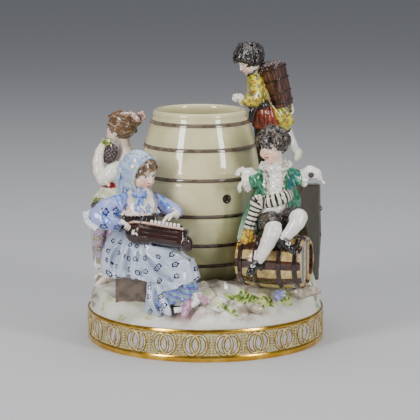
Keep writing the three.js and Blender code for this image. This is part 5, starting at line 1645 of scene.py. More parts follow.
clay.put((28, -70, 80), (70, -36, 140), jacket_opening, 0.7, True)
clay.limb([(42, -34.4, 126.4, 5.6), (36.6, -37, 122.6, 6.4), (33.4, -40.4, 122.2, 5.8)], 1.6)
clay.limb([(58, -34, 127.2, 5.4), (63, -33.2, 124.2, 6.0), (66.8, -33.8, 123.2, 5.8)], 1.6)
creases(clay, (((40, -41, 128), (34.4, -45, 119)), ((37, -42, 127), (32, -44.6, 123)),
               ((60, -39, 129), (64, -39.4, 119)), ((63, -39, 127), (67.6, -39.4, 121))), (0.7, 1.1), 1.4)
fold(clay, [(40, 118), (34, 104), (27.4, 84)], 1.7, 2.0)
fold(clay, [(38, 108), (36, 96), (35.4, 82)], 1.5, 1.8)
boy_jacket = clay.skin("boy_jacket")
green, tree, body = glaze("bottle-green enamel, brushed over white", 0.07)
place = add(tree, "ShaderNodeTexCoord").outputs["Object"]
height = add(tree, "ShaderNodeSeparateXYZ", None, {"Vector": place}).outputs["Z"]
colour = blend(tree, share_between(tree, object_noise(tree, 4, 4), 0.36, 0.64), "#1f5e42", "#4f9a70")
colour = blend(tree, share_between(tree, object_noise(tree, 11, 4), 0.5, 0.66), colour, "#256b66")
colour = blend(tree, share_between(tree, height, 0.104, 0.08), colour, "#a9c7ae")
tree.links.new(pooled_and_shaded(tree, colour, "#123a2a", 0.8), body.inputs["Base Color"])
boy_jacket.data.materials.append(green)
clay = Clay(0.32)
for zs, xs in (JACKET_LEFT, JACKET_RIGHT):
    stations = []
    for z in np.linspace(zs[0] + 2, zs[-1] - 2, 22):
        x = np.interp(z, zs, xs)
        y = -36.4 - 10.6 * math.sqrt(max(0, 1 - ((x - 49.8) / 13.6) ** 2)) + 0.02 * abs(z - 110)
        stations.append((x, y, z, 1.1, 0.8))
    clay.limb(stations, 0.3)
for z in np.linspace(92, 128, 12):
    x = np.interp(z, *JACKET_LEFT) - 1.9
    y = -36.8 - 10.6 * math.sqrt(max(0, 1 - ((x - 49.8) / 13.6) ** 2))
    clay.ball((x, y, z), 0.75, None, 0.2)
boy_braid = clay.skin("boy_jacket_edge")
braid, tree, body = glaze("cream braid with dark dashes", 0.1)
dash = share_between(tree, object_noise(tree, 1.2, 2), 0.5, 0.56)
tree.links.new(pooled_and_shaded(tree, blend(tree, dash, "#cfc7ae", "#4d4136"), "#3a3028"), body.inputs["Base Color"])
boy_braid.data.materials.append(braid)
for piece in (boy_jacket, boy_braid):
    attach(piece, "root")
    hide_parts("porcelain_group")

# Boy's sash. Striped cream and black cloth wound round the waist, looped at the hip and hanging
# over the keg, where its end is worked with orange and yellow flowers.
SASH = [(42, -47.4, 108.4), (38.4, -48, 108), (35.8, -47, 103), (33.6, -46.4, 96), (31.4, -45.6, 88),
        (29.6, -44, 78)]


def along_line(piece, line, width_axis, start=0.0):
    """Keeps the distance run along a line, and across it, for stripes on a strap"""
    p = points_of(piece)
    line = curve_through(line, 1.0)
    steps = np.concatenate([[0], np.cumsum(np.linalg.norm(np.diff(line, axis=0), axis=1))])
    nearest = np.argmin(((p[:, None, :] - line[None, :, :]) ** 2).sum(axis=2), axis=1)
    ahead = line[np.minimum(nearest + 1, len(line) - 1)] - line[np.maximum(nearest - 1, 0)]
    ahead = ahead / np.linalg.norm(ahead, axis=1)[:, None]
    run = steps[nearest] - start + ((p - line[nearest]) * ahead).sum(axis=1)
    store(piece, "cloth", np.stack([run, (p - line[nearest]) @ np.array(width_axis), 0 * run], axis=1))


clay = Clay(0.36)
belt = [(38.6, -40, 107.4), (42.6, -46, 107.8), (49.6, -49, 109.6), (56.4, -46.8, 111.6),
        (60.6, -40.4, 113)]
clay.limb([tuple(p) + (4.2, 0.35) for p in curve_through(belt, 2)], 0.6)
for off in (-2.1, 0, 2.1):
    clay.limb([(x, y - 1.0, z + off, 0.6) for x, y, z in curve_through(belt, 2)], 0.6)
boy_belt = clay.skin("boy_sash_waist")
along_line(boy_belt, belt, (0, 0, 1), 40)
clay = Clay(0.36)
loop = [(40.6 + 3.9 * math.cos(a), -48.6 - 1.2 * math.sin(a),
         108 + 4.1 * math.sin(a)) for a in np.linspace(0, 5.6, 12)]
loop = [(x - 2.8, y, z) for x, y, z in loop]
clay.limb([tuple(p) + (1.9, 0.9) for p in loop], 0.5)
widths = np.linspace(3.2, 5.8, 60)
clay.limb([(x, y, z, w, 0.42) for (x, y, z), w in zip(curve_through(SASH[1:], 2.2), widths)], 0.8)
sash_line = curve_through(SASH[1:], 2.2)
for off, lift in ((-3, 0.6), (0, 1.3), (3, 0.7)):
    clay.limb([(x + off * (0.6 + 0.4 * k / len(sash_line)), y - lift, z, 0.9) for k,
               (x, y, z) in enumerate(sash_line)], 0.9)
for k in range(7):
    clay.limb([(23.4 + 1.6 * k, -44.8, 77, 0.6), (22.6 + 1.7 * k, -44.4 + 0.3 * (k % 2), 72.6, 0.75)], 0.3)
boy_sash = clay.skin("boy_sash_hanging")
along_line(boy_sash, SASH, (1, 0, 0))
striped, tree, body = glaze("cream and black striped sash, orange flowered end", 0.08)
cloth = add(tree, "ShaderNodeAttribute", {"attribute_name": "cloth"}).outputs["Vector"]
run = add(tree, "ShaderNodeSeparateXYZ", None, {"Vector": cloth}).outputs["X"]
beat = add(tree, "ShaderNodeMath", {"operation": "SINE"}, {
    0: add(tree, "ShaderNodeMath", {"operation": "MULTIPLY"},
           {0: run, 1: 2 * math.pi / 3.5}).outputs[0]}).outputs[0]
colour = blend(tree, share_between(tree, beat, 0.05, 0.4), "#ded8c2", "#1d1a18")
fruit = blend(tree, share_between(tree, object_noise(tree, 2.6, 2), 0.45, 0.55), "#d98a1e", "#e3c93a")
fruit = blend(tree, share_between(tree, object_noise(tree, 1.7, 2), 0.56, 0.62), fruit, "#55601f")
colour = blend(tree, share_between(tree, run, 24.0, 26.5), colour, fruit)
tree.links.new(pooled_and_shaded(tree, colour, "#3a2a18", 0.7), body.inputs["Base Color"])
for piece in (boy_belt, boy_sash):
    piece.data.materials.append(striped)
    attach(piece, "root")
    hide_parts("porcelain_group")

# Boy's breeches, stockings and shoes. Near-black breeches to the knee, white stockings wrinkled at
# the ankle, black shoes with a small pale buckle, one foot set on the keg's hoop.
clay = Clay(0.42)
clay.drape([(50, -37, 82, 12.6, 11.6, 8, 0.02), (50, -38.4, 92, 13, 12, 8, 0.03),
            (49.6, -38.4, 99, 12, 11, 8, 0.03)],
           [(8, 0, 1)], 1.4)
clay.limb([(46, -40, 92, 8.6), (47, -50, 93.8, 7.8), (48, -56, 92.8, 6.7)], 2.2)
clay.limb([(55, -40, 92, 8.4), (61, -49, 97.2, 7.4), (64.4, -54, 99, 6.7)], 2.2)
creases(clay, (((42, -46, 98), (41.6, -53, 97), (41.6, -59, 94)),
               ((48, -47, 101), (49, -53, 100.6), (49.6, -59, 98)),
               ((53, -48, 96), (51.4, -54, 93), (51, -59, 88)),
               ((56, -46, 101), (60, -53, 104), (63.4, -58, 105)),
               ((60, -45, 102), (65, -49, 104), (68.6, -54, 104)),
               ((56, -50, 93), (60, -56, 94), (62.6, -59, 94))), (0.8, 1.2, 0.9), 1.4)
boy_breeches = clay.skin("boy_breeches")
ink = mottled("black-brown enamel breeches", 0.06, 6, "#231d1b", "#4d413a", "#0f0c0b", between=(0.4, 0.68),
              detail=4)
boy_breeches.data.materials.append(ink)
clay = Clay(0.38)
clay.limb([(48.6, -56, 92.6, 6.1), (48.2, -60, 90.4, 6.0), (46.6, -61.8, 86, 5.7), (44.4, -62.2, 81, 5.2),
           (41.8, -61.8, 75.6, 4.4), (39.6, -61, 71, 3.7), (38.4, -60.6, 68.4, 3.4)], 1.2)
clay.limb([(64, -54.4, 98.8, 6.0), (66.6, -58, 98.8, 6.0), (65.2, -60.2, 95.4, 5.5), (62, -61.4, 91, 4.7),
           (58.8, -62, 87.2, 3.9), (56.6, -62, 84.6, 3.5)], 1.2)
for x, y, z, r in ((39.2, -61.2, 71, 4.0), (40.2, -61.4, 73.6, 4.3), (57.6, -62.2, 86, 4.0)):
    clay.ball((x, y, z), (r, r, 0.8), turned_matrix(0, 28, 0), 0.7)
boy_stockings = clay.skin("boy_stockings")
boy_stockings.data.materials.append(linen)
clay = Clay(0.34)
for x, y, z, way in ((38.6, -58.4, 66.4, -1), (54, -60.4, 82.8, 1)):
    clay.limb([(x, y, z, 3.2), (x + way * 3.2, y - 4.2, z - 2, 3.4, 0.85),
               (x + way * 6, y - 7.4, z - 4.6, 3.0, 0.8),
               (x + way * 8, y - 9.6, z - 6.8, 1.9, 0.8)], 0.8)
    clay.limb([(x - way, y + 0.4, z - 1.4, 2.3), (x - way * 1.2, y + 0.8, z - 4.8, 1.8)], 0.5)
    clay.limb([(x + way * 2.6, y - 5.8, z + 1.4, 1.3), (x + way * 4.8, y - 7.4, z - 0.4, 1.7, 0.6)], 0.4)
boy_shoes = clay.skin("boy_shoes")
jet = mottled("black enamel shoes", 0.05, 4, "#0e0d0d", "#2c2624", between=(0.45, 0.7))
boy_shoes.data.materials.append(jet)
clay = Clay(0.28)
for x, y, z, spin in ((33.6, -67.2, 65.4, 40), (59, -69.2, 81.8, -28)):
    for a in np.linspace(0, 2 * math.pi, 9)[:-1]:
        turn = turned_matrix(-35, 0, spin)
        p, q = [np.array([x, y, z]) + turn @ np.array([1.4 * math.cos(b), 0, 1.1 * math.sin(b)])
                for b in (a, a + math.pi / 4)]
        clay.limb([tuple(p) + (0.38,), tuple(q) + (0.38,)], 0.15)
boy_buckles = clay.skin("boy_shoe_buckles")
boy_buckles.data.materials.append(linen)
for piece in (boy_breeches, boy_stockings, boy_shoes, boy_buckles):
    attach(piece, "root")
    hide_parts("porcelain_group")

# Leaning boy: head, neck and hands. He bends over the barrel's rim from the stand behind, a fist
# on the rim and the other hand steadying the hod on his back.
CLIMBER_AT = (33.2, 27.4, 203.0)
CLIMBER_TURN = turned_matrix(-28, 0, 110)
CLIMBER_SIZE = 0.87
CLIMBER_HAIR_SIZE = 0.92
climber_head = child_head("leaning_boy_head", CLIMBER_AT, CLIMBER_TURN, CLIMBER_SIZE,
                          [(36, 28, 193, 4.6), (38.6, 28.6, 185, 5.6)])
clay = Clay(0.32)
clay.limb([(29.4, 13.6, 174.8, 2.7), (25.8, 13.4, 175.8, 2.5)], 0.6)
clay.ball((23.4, 13.2, 176.2), (2.9, 3.4, 2.9), None, 0.8)
for y in (10.6, 12.3, 14.0, 15.6):
    clay.limb([(23.6, y, 178.6, 0.85), (21.2, y, 177.9, 0.95), (20.5, y, 175.6, 0.9),
               (22.4, y, 173.9, 0.8)], 0.25)
clay.limb([(25.4, 10.4, 177.0, 0.95), (22.8, 9.5, 176.4, 0.95), (21.2, 9.6, 174.8, 0.75)], 0.4)
clay.limb([(62, 33, 170, 2.6), (63.4, 33.4, 168, 2.3)], 0.6)
hand(clay, (63.2, 32.6, 169.4), (0.35, -0.3, -0.9), (-0.8, -0.2, 0.3), -1, 0.6, 1.1)
clay.limb([(33.6, 36, 172.8, 2.8), (32.4, 33, 172.4, 2.4)], 0.6)
hand(clay, (32.6, 33.4, 172.4), (-0.5, -0.8, -0.1), (-0.2, 0.2, -0.9), -1, 0.8, 1.1)
climber_hands = clay.skin("leaning_boy_hands")
for piece in (climber_head, climber_hands):
    piece.data.materials.append(boy_flesh)
clay = Clay(0.32)
clay.ball((0, -0.8, 3.6), (10.6, 11.0, 10.4))
clay.ball((0, 9.4, -5.6), (11.5, 8.4, 9.0), None, 0.4, True)
locks(clay, (0, -0.8, 3.6), (10.8, 11.2, 10.6), 150, lambda d: hairline(d, 0.12), 7.6)
climber_hair = clay.skin("leaning_boy_hair")
seat(climber_hair, CLIMBER_AT, CLIMBER_TURN, CLIMBER_HAIR_SIZE)
climber_hair.data.materials.append(hair_enamel("black-brown hair enamel", "#15100d", "#4e4238"))
for piece in (climber_head, climber_hands, climber_hair):
    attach(piece, "root")
    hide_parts("porcelain_group")

# Leaning boy's jacket. Yellow cloth painted with small red, violet and green flowers, wide tails
# flaring at the back and a small white cuff on the rim.
clay = Clay(0.42)
clay.drape([(56.4, 36, 148, 10.4, 9, 12, 0.1), (54, 34.8, 158, 11.8, 9.6, 12, 0.05),
            (45.8, 31.6, 170, 9.8, 9, 12, 0.02),
            (39.4, 29.6, 182, 8.6, 9.8, 0, 0), (37.4, 28.6, 189, 6.8, 8.6, 0, 0),
            (36.6, 28, 193, 5.2, 6, 0, 0)],
           [(5, 0.5, 1), (9, 1, 0.4)], 1.6, False, 1.3)
clay.put((10, 10, 120), (80, 50, 170), lambda X, Y,
         Z: np.maximum(X - 52.6 + 0.12 * (165 - Z), Y - 40) + 0 * Z, 0.6, True)
clay.limb([(48.6, 24.6, 170, 2.4), (54.6, 25.8, 160, 3.4, 0.8), (58.4, 26.4, 151.6, 3.2, 0.8)], 1.8)
clay.limb([(53, 27, 172, 2.4), (60, 27.6, 162, 3.2, 0.8), (63.6, 28.6, 156, 2.8, 0.8)], 1.8)
clay.put((40, 10, 140), (80, 50, 160), lambda X, Y, Z: 0.75 * (Z - 148.2 - 0.95 * (X - 60.6)) + 0 * Y, 0.8,
         True)
clay.limb([(37.6, 21.6, 187.4, 5.0), (38.4, 17.6, 179.4, 4.9), (36.8, 14.8, 173.6, 4.4),
           (32, 13.6, 173.4, 3.9),
           (27.4, 13.3, 175.2, 3.4)], 1.4)
clay.limb([(37, 37, 187, 5), (36.4, 40.4, 180, 5), (34.4, 37.6, 173.8, 4.2)], 1.8)
clay.limb([(52, 36, 180, 3.4), (60, 36, 174.6, 3.6), (62, 34, 171.4, 3.4)], 1.8)
creases(clay, (((39.6, 14.6, 184), (35.6, 11.8, 177.6)), ((41, 15, 180), (40.4, 10.8, 172.6)),
               ((41, 21, 184), (41, 19.4, 174)), ((44, 22.6, 178), (43, 20.4, 172)),
               ((36.4, 10.8, 171.4), (30.6, 10.2, 173)), ((35, 10.6, 176), (31, 10.2, 175.8))), (0.8, 1.2),
               1.6)
climber_jacket = clay.skin("leaning_boy_jacket")
lay_flat(climber_jacket, 0.3)
yellow, tree, body = glaze("lemon-yellow enamel strewn with small flowers", 0.07)
cloth = add(tree, "ShaderNodeAttribute", {"attribute_name": "cloth"}).outputs["Vector"]
colour = blend(tree, share_between(tree, object_noise(tree, 9), 0.42, 0.62), "#e0d23e", "#b0a02a")
colour = blend(tree, share_between(tree, object_noise(tree, 4.4, 4), 0.54, 0.64), colour, "#857c28")
for spacing, size, petals, seed, paint in ((4.4, 1.2, 3, 1.3, "#66702a"), (5.6, 1.3, 4, 5.1, "#93392c"),
                                           (5.8, 1.2, 5, 9.7, "#4b3560")):
    petal, eye = sprigs(tree, cloth, spacing, size, petals, seed)
    colour = blend(tree, petal, colour, paint)
tree.links.new(pooled_and_shaded(tree, colour, "#5e5618", 1.0), body.inputs["Base Color"])
climber_jacket.data.materials.append(yellow)
clay = Clay(0.34)
clay.limb([(26.6, 13.3, 175.5, 3.4), (25.8, 13.3, 175.7, 3.3)], 0.5)
for k in range(14):
    a = k * math.pi / 7
    rim = [13.3 + 3.3 * math.cos(a), 175.6 + 3.3 * math.sin(a)]
    clay.limb([(26.4, *rim, 0.55), (25.2, *rim, 0.5 + 0.15 * (k % 2))], 0.3)
climber_linen = clay.skin("leaning_boy_linen")
climber_linen.data.materials.append(white_frill)
for piece in (climber_jacket, climber_linen):
    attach(piece, "root")
    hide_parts("porcelain_group")

# Leaning boy's apron, sash and legs. Red-brown apron in upright pleats, a dark sash, dark brown
# breeches and one white stocking kicked out behind with a yellow-green shoe.
clay = Clay(0.38)
clay.drape([(45.4, 27.4, 152.6, 9.8, 9.4, 0, 0.09), (44, 27, 162, 9.5, 9.1, 0, 0.06),
            (42.2, 26.8, 170, 7.6, 7.8, 0, 0.04)],
           [(11, 0.3, 1)], 1.2, False, 1.0)
for x0, x1 in ((39, 38), (41, 41.4), (43.6, 45), (46, 48.4), (48.4, 51.4)):
    fold(clay, [(x0, 168), ((x0 + x1) / 2, 161), (x1, 154)], 1.3, 1.0)
climber_apron = clay.skin("leaning_boy_apron")
rust, tree, body = glaze("iron-red enamel in upright streaks", 0.08)
streak = brushed(tree, (1, 1, 0.2), 420, 3)
colour = blend(tree, share_between(tree, streak, 0.38, 0.62), "#6a200f", "#a54c25")
tree.links.new(pooled_and_shaded(tree, colour, "#3a110a"), body.inputs["Base Color"])
climber_apron.data.materials.append(rust)
clay = Clay(0.42)
clay.limb([(33.4, 22, 168.8, 2.2, 0.8), (37, 18.8, 168.6, 2.4, 0.8), (42, 17.8, 169.4, 2.2, 0.8),
           (48.6, 20, 171.2, 2.0, 0.8)], 1.0)
clay.limb([(36.6, 17.8, 168.6, 2.0), (34.6, 17.4, 164.4, 2.2, 0.6), (33.8, 17.6, 159, 2.0, 0.5)], 0.8)
clay.limb([(44, 31.6, 160, 7.6), (44, 32.4, 149, 7.4), (43.4, 33, 138, 6.4), (43.4, 33.6, 124, 5.2),
           (42.4, 33, 106, 4.4)], 1.8)
clay.limb([(52, 34, 157, 7.2), (59, 34.4, 149, 5.8)], 1.8)
clay.limb([(31.4, 24.4, 191.6, 0.8), (33.4, 22.2, 193.2, 0.9), (36.4, 21.6, 195.0, 0.9),
           (39.6, 23.6, 196.2, 0.8)], 0.5)
climber_breeches = clay.skin("leaning_boy_breeches")
umber_black = mottled("umber-black enamel breeches and sash", 0.07, 7, "#1f1716", "#3a2b27", "#100b0a",
                      between=(0.42, 0.66), detail=4)
climber_breeches.data.materials.append(umber_black)
clay = Clay(0.38)
clay.limb([(57.6, 34.4, 152, 5.2), (61.4, 34.6, 147, 4.5), (65, 34.8, 139.4, 3.9),
           (67.8, 35.2, 133.6, 3.5)], 1.2)
climber_stocking = clay.skin("leaning_boy_stocking")
climber_stocking.data.materials.append(linen)
clay = Clay(0.34)
clay.limb([(69.6, 35.8, 132, 3.8), (69.4, 33, 130.4, 3.4, 0.9), (68, 29.6, 128.4, 2.3, 0.85)], 0.8)
clay.limb([(42.6, 33, 109, 4.0), (40, 28, 106.6, 3.4, 0.85), (38, 23, 105.4, 2.6, 0.8)], 0.8)
climber_shoes = clay.skin("leaning_boy_shoes")
reed = mottled("yellow-green enamel shoes", 0.08, 4, "#d3d8a8", "#ecebd6", "#8a8f56")
climber_shoes.data.materials.append(reed)
for piece in (climber_apron, climber_breeches, climber_stocking, climber_shoes):
    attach(piece, "root")
    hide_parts("porcelain_group")

# Grape hod. A wooden back-basket of upright staves bound by four dark hoops, tapering downwards and
# heaped with grapes; a pale strap runs from his shoulder down its edge.
HOD_AT = (52.6, 27.4, 183.6)
HOD_TURN = turned_matrix(0, -16, 0) @ turned_matrix(0, 0, -31)


def hod_form(grow):
    """Tapered tub with rounded corners; grow widens it for the hoops"""
    def shape(X, Y, Z):
        share = np.clip((Z + 16) / 31, 0, 1)
        width = 7.2 + 2.0 * share + grow
        depth = 6.4 + 1.4 * share + grow
        x, y = np.abs(X), np.abs(Y)
        corner = 2.0
        dx, dy = np.maximum(x - width + corner, 0), np.maximum(y - depth + corner, 0)
        inner = np.minimum(np.maximum(x - width + corner, y - depth + corner), 0)
        wall = np.sqrt(dx * dx + dy * dy) + inner - corner
        return np.maximum(wall, np.abs(Z + 0.6) - 15.4)
    return shape


clay = Clay(0.36)
clay.put((-11, -7, -16.5), (11, 7, 15.4), hod_form(0), 0.3, False)
hod = clay.skin("grape_hod", lambda X, Y, Z: 0.3 * np.abs(np.cos(X * 0.72)) * (np.abs(Y) > 5.4)
                + 0.3 * np.abs(np.cos(Y * 0.72)) * (np.abs(X) > 6))
seat(hod, HOD_AT, HOD_TURN, 1.0)
oak, tree, body = glaze("red-brown enamel staves", 0.05)
streak = brushed(tree, (1, 1, 0.12), 480, 4, (0, 0.28, 0))
colour = blend(tree, share_between(tree, streak, 0.36, 0.64), "#38201a", "#5d382c")
tree.links.new(pooled_and_shaded(tree, colour, "#20100c"), body.inputs["Base Color"])
hod.data.materials.append(oak)
clay = Clay(0.3)
for z in (-12.6, -5.2, 4.8, 13.4):
    def band(X, Y, Z, z=z):
        return np.maximum(hod_form(0.75)(X, Y, Z), np.abs(Z - z) - 0.8)
    clay.put((-12, -8, z - 1), (12, 8, z + 1), band, 0.2, False)
hod_hoops = clay.skin("grape_hod_hoops")
seat(hod_hoops, HOD_AT, HOD_TURN, 1.0)
hod_hoops.data.materials.append(hoop_brown)
clay = Clay(0.3)
clay.limb([(37.6, 20.2, 195, 0.6, 0.8), (40.4, 18.8, 189, 0.6, 0.8), (43.6, 17.8, 181.6, 0.6, 0.8),
           (46.8, 17.8, 175, 0.6, 0.8), (49.8, 18.8, 168.4, 0.6, 0.8)], 0.3)
clay.limb([(37.6, 20.2, 195, 0.6, 0.8), (40, 25, 197.4, 0.6, 0.8), (43.4, 30, 196.6, 0.6, 0.8)], 0.3)
strap = clay.skin("grape_hod_strap")
hide = mottled("pale cream enamel strap", 0.09, 3, "#ab9268", "#8b7148", "#5a4526")
strap.data.materials.append(hide)


def bunch(clay, centre, radii, berry, count, seed, turn=None):
    """Grapes heaped over an egg-shaped space"""
    centre, pick = np.array(centre, float), np.random.default_rng(seed)
    turn = np.eye(3) if turn is None else turn
    clay.ball(centre, [r * 0.8 for r in radii], turn, 0.3)
    for d in spread_evenly(count):
        at = centre + turn @ (d * np.array(radii) * (0.82 + 0.18 * pick.random()))
        clay.ball(at, berry * (0.88 + 0.24 * pick.random()), None, 0.12)


clay = Clay(0.32)
bunch(clay, (48.4, 28, 198.6), (8.6, 7.4, 3.0), 1.5, 90, 3, turned_matrix(0, -16, -31))
hod_grapes = clay.skin("grape_hod_grapes")


def grape_enamel(name, dark, light, bloom_highlight):
    """Grapes: deep glossy colour between, and on each berry's crown a pale waxy coat together with a
    painted highlight
    """
    material, tree, body = glaze(name, 0.3, 0.5)
    body.inputs["Coat Weight"].default_value = 0.35
    colour = blend(tree, share_between(tree, object_noise(tree, 3.4, 1), 0.42, 0.58), dark, light)
    hollow = add(tree, "ShaderNodeAttribute", {"attribute_name": "hollow"}).outputs["Fac"]
    # Painted highlight: the pale colour on each berry's crown, partly the grapes' own waxy coat
    colour = blend(tree, share_between(tree, hollow, -0.16, -0.3), colour, bloom_highlight)
    tree.links.new(pooled_and_shaded(tree, colour, "#140a10"), body.inputs["Base Color"])
    return material


hod_grapes.data.materials.append(grape_enamel("dark brown-violet grapes", "#2a1a1c", "#4a3635", "#6d5d58"))
for piece in (hod, hod_hoops, strap, hod_grapes):
    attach(piece, "root")
    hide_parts("porcelain_group")

# Standing girl: head, bare back and arms. She stands behind on the left with her back half
# turned, lifting a bunch of grapes to her mouth.
PICKER_AT = (-63.5, 25, 151.6)
PICKER_TURN = turned_matrix(6, 0, 62)
PICKER_SIZE = 0.98
picker_head = child_head("standing_girl_head", PICKER_AT, PICKER_TURN, PICKER_SIZE,
                         [(-61.4, 23.6, 141, 4.4), (-60.2, 22.8, 134, 5.2)])
clay = Clay(0.38)
clay.drape([(-63.6, 20.6, 120, 7.8, 10.6, 35), (-60.8, 22, 129, 7.2, 10.2, 35),
            (-60, 22.6, 134.4, 5.6, 7.4, 35),
            (-60.4, 23, 139, 4.4, 4.8, 35)], [], 1.4)
clay.limb([(-71, 9.8, 118.6, 5.0), (-76, 8.6, 116, 4.7), (-79.2, 9.4, 121.6, 4.4), (-80, 10.6, 129, 4.0),
           (-79, 11.6, 136, 3.2), (-76.8, 12.6, 140.6, 2.6)], 1.2)
hand(clay, (-77.2, 12.4, 140.2), (0.75, 0.3, 0.35), (0.3, -0.1, -0.9), 1, 0.75, 1.15)
clay.limb([(-57.6, 33.6, 118.6, 4.4), (-62, 33.4, 112.6, 3.8), (-68, 28, 109.4, 3.0),
           (-71, 25, 108.4, 2.6)], 1.2)
hand(clay, (-70, 26, 108.6), (-0.7, -0.5, -0.3), (0.3, -0.4, -0.8), -1, 0.6, 1.1)
clay.limb([(-71, 6, 54, 4.0), (-71, 1.4, 47, 3.5), (-73.6, -2.6, 43.4, 3.1), (-76.4, -6, 41.6, 2.6),
           (-79.4, -9.4, 40.2, 2.1, 0.7)], 1.0)
clay.limb([(-71, 17, 54, 3.8), (-73, 17.4, 46, 3.4), (-78, 16.6, 42, 2.7), (-82.4, 15.6, 40, 2.0, 0.7)],
          1.0)
for k in range(4):
    clay.limb([(-78.6 - 0.7 * k, -10.2 + 0.9 * k, 40.0, 0.9),
               (-80.2 - 0.7 * k, -12.0 + 1.0 * k, 39.3, 0.7)], 0.3)
picker_body = clay.skin("standing_girl_back_and_arms")
picker_flesh = flesh_enamel("pale flesh enamel, brown eyes", "#4a3524", "#7a5a40")
for piece in (picker_head, picker_body):
    piece.data.materials.append(picker_flesh)


def combed(x, y, z):
    """Comb lines swept back over the scalp"""
    return 0.3 * np.cos(26 * np.arctan2(x, z + 0.25) + 2.4 * y) * np.clip(1.15 - np.abs(y), 0, 1)


clay = Clay(0.32)
clay.ball((0, -1.4, 3.0), (10.9, 11.4, 10.8), None, 0.8, False, combed)
clay.ball((0, 8.6, -4.6), (8.4, 9.4, 8.6), None, 0.4, True)
for swept in ([(9.6, 4.6, 3.6, 1.9), (10.4, -1.6, 1, 2.3), (8.6, -7.4, -1.6, 2.3), (3, -10.6, 0, 2.2)],
              [(6, 7.4, 9.2, 1.4), (7.4, 0.4, 11.4, 1.8), (4.4, -7, 10.6, 2.0), (1, -11, 8, 2.2)]):
    for side in (-1, 1):
        clay.limb([(side * x, y, z, r) for x, y, z, r in swept], 0.6)
clay.limb([(0, 8, 10.4, 1.4), (0, 0, 13.4, 1.7), (0, -8, 11.6, 2.0), (0, -12, 8.6, 2.2)], 0.6)
bun = []
for k in range(22):
    a = k / 21 * 2.6 * 2 * math.pi
    wide = 4.9 - 0.15 * k
    bun.append((wide * math.cos(a), -12.4 - 0.16 * k, 8.6 + wide * 0.9 * math.sin(a), 1.5))
for ends in zip(bun, bun[1:]):
    clay.limb(ends, 0.35)
clay.ball((0, -12.4, 8.6), (4.4, 3.6, 4.2), None, 0.5)
picker_hair = clay.skin("standing_girl_hair")
seat(picker_hair, PICKER_AT, PICKER_TURN, PICKER_SIZE)
picker_hair.data.materials.append(hair_enamel("golden-brown hair enamel", "#5f432a", "#926f48"))
clay = Clay(0.32)
bow = [(4, -11, 12.4, 1.2, 0.7), (6.4, -14, 13.6, 1.9, 0.5), (5.4, -17, 10.6, 1.7, 0.5),
       (1.6, -16.6, 8.6, 1.2, 0.6)]
for side in (1, -1):
    clay.limb([(side * x, y, z, r, flat) for x, y, z, r, flat in bow], 0.4)
clay.limb([(-8.6, 1, 10.6, 1.1, 0.5), (-4.4, -5, 13.2, 1.2, 0.5), (0, -9, 13.2, 1.3, 0.5),
           (4.4, -5, 13.2, 1.2, 0.5),
           (8.6, 1, 10.6, 1.1, 0.5)], 0.3)
picker_ribbon = clay.skin("standing_girl_ribbon")
seat(picker_ribbon, PICKER_AT, PICKER_TURN, PICKER_SIZE)
pink_ribbon = mottled("rose enamel ribbon", 0.08, 3, "#c79a92", "#dcbcae", "#7d4a44")
picker_ribbon.data.materials.append(pink_ribbon)
for piece in (picker_head, picker_body, picker_hair, picker_ribbon):
    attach(piece, "root")
    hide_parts("porcelain_group")

# Standing girl's clothes. White blouse slipped off the shoulders, red corset, a short cream
# peplum, and a lilac skirt with green and yellow flowers over a white petticoat.
clay = Clay(0.4)
clay.drape([(-69.2, 18, 110, 7.6, 8.8, 35, 0), (-66.4, 19.4, 117, 8.6, 11, 35, 0.02),
            (-63, 20.8, 124.4, 8.8, 12, 35, 0.02),
            (-61.4, 21.6, 128.4, 8.0, 11.2, 35, 0.02)], [(11, 0, 1)], 1.2)
clay.put((-80, 0, 120), (-40, 40, 140), lambda X, Y,
         Z: 126.4 + 0.62 * (X + 62) - Z + 0.9 * np.sin(X * 0.6) + 0 * Y, 0.6, True)
clay.limb([(-66, 13.4, 124, 5.0), (-69.4, 10.4, 120.8, 6.2), (-72.4, 9.2, 118.4, 5.4)], 2.0)
clay.limb([(-57, 28.6, 125, 4.8), (-56.6, 33.6, 120.4, 5.8), (-58.4, 34, 117, 5)], 2.0)
frill(clay, [(-74.6, 12.4, 121.6), (-75.6, 7.4, 120.4), (-74, 4.6, 116.4), (-71.6, 6.4, 112.6)],
      [(-0.8, 0, 0.5), (-0.9, -0.4, -0.2), (-0.3, -0.4, -0.9)], 1.8, 1.3, 0.75, 0.4)
creases(clay, (((-64, 11.4, 127), (-71, 5.6, 121)), ((-66, 9.4, 123), (-71, 5.6, 117)),
               ((-62, 11.6, 122), (-67, 9, 114))), (0.8, 1.1), 1.4)
picker_blouse = clay.skin("standing_girl_blouse")
picker_blouse.data.materials.append(linen)
clay = Clay(0.38)
clay.drape([(-69.6, 17.6, 108.4, 8.0, 9.2, 35, 0), (-69.2, 17.9, 112, 8.2, 9.5, 35, 0),
            (-67.8, 18.6, 115.4, 8.8, 10.4, 35, 0)],
           [], 1.0)
for k in range(7):
    a = math.radians(180 + 26 * k)
    x, y = -68.6 + 8.8 * math.cos(a), 18 + 9.8 * math.sin(a)
    clay.limb([(x, y, 109, 0.8), (x, y, 115 + 1.4 * (k % 2), 0.8)], 0.7)
picker_corset = clay.skin("standing_girl_corset")
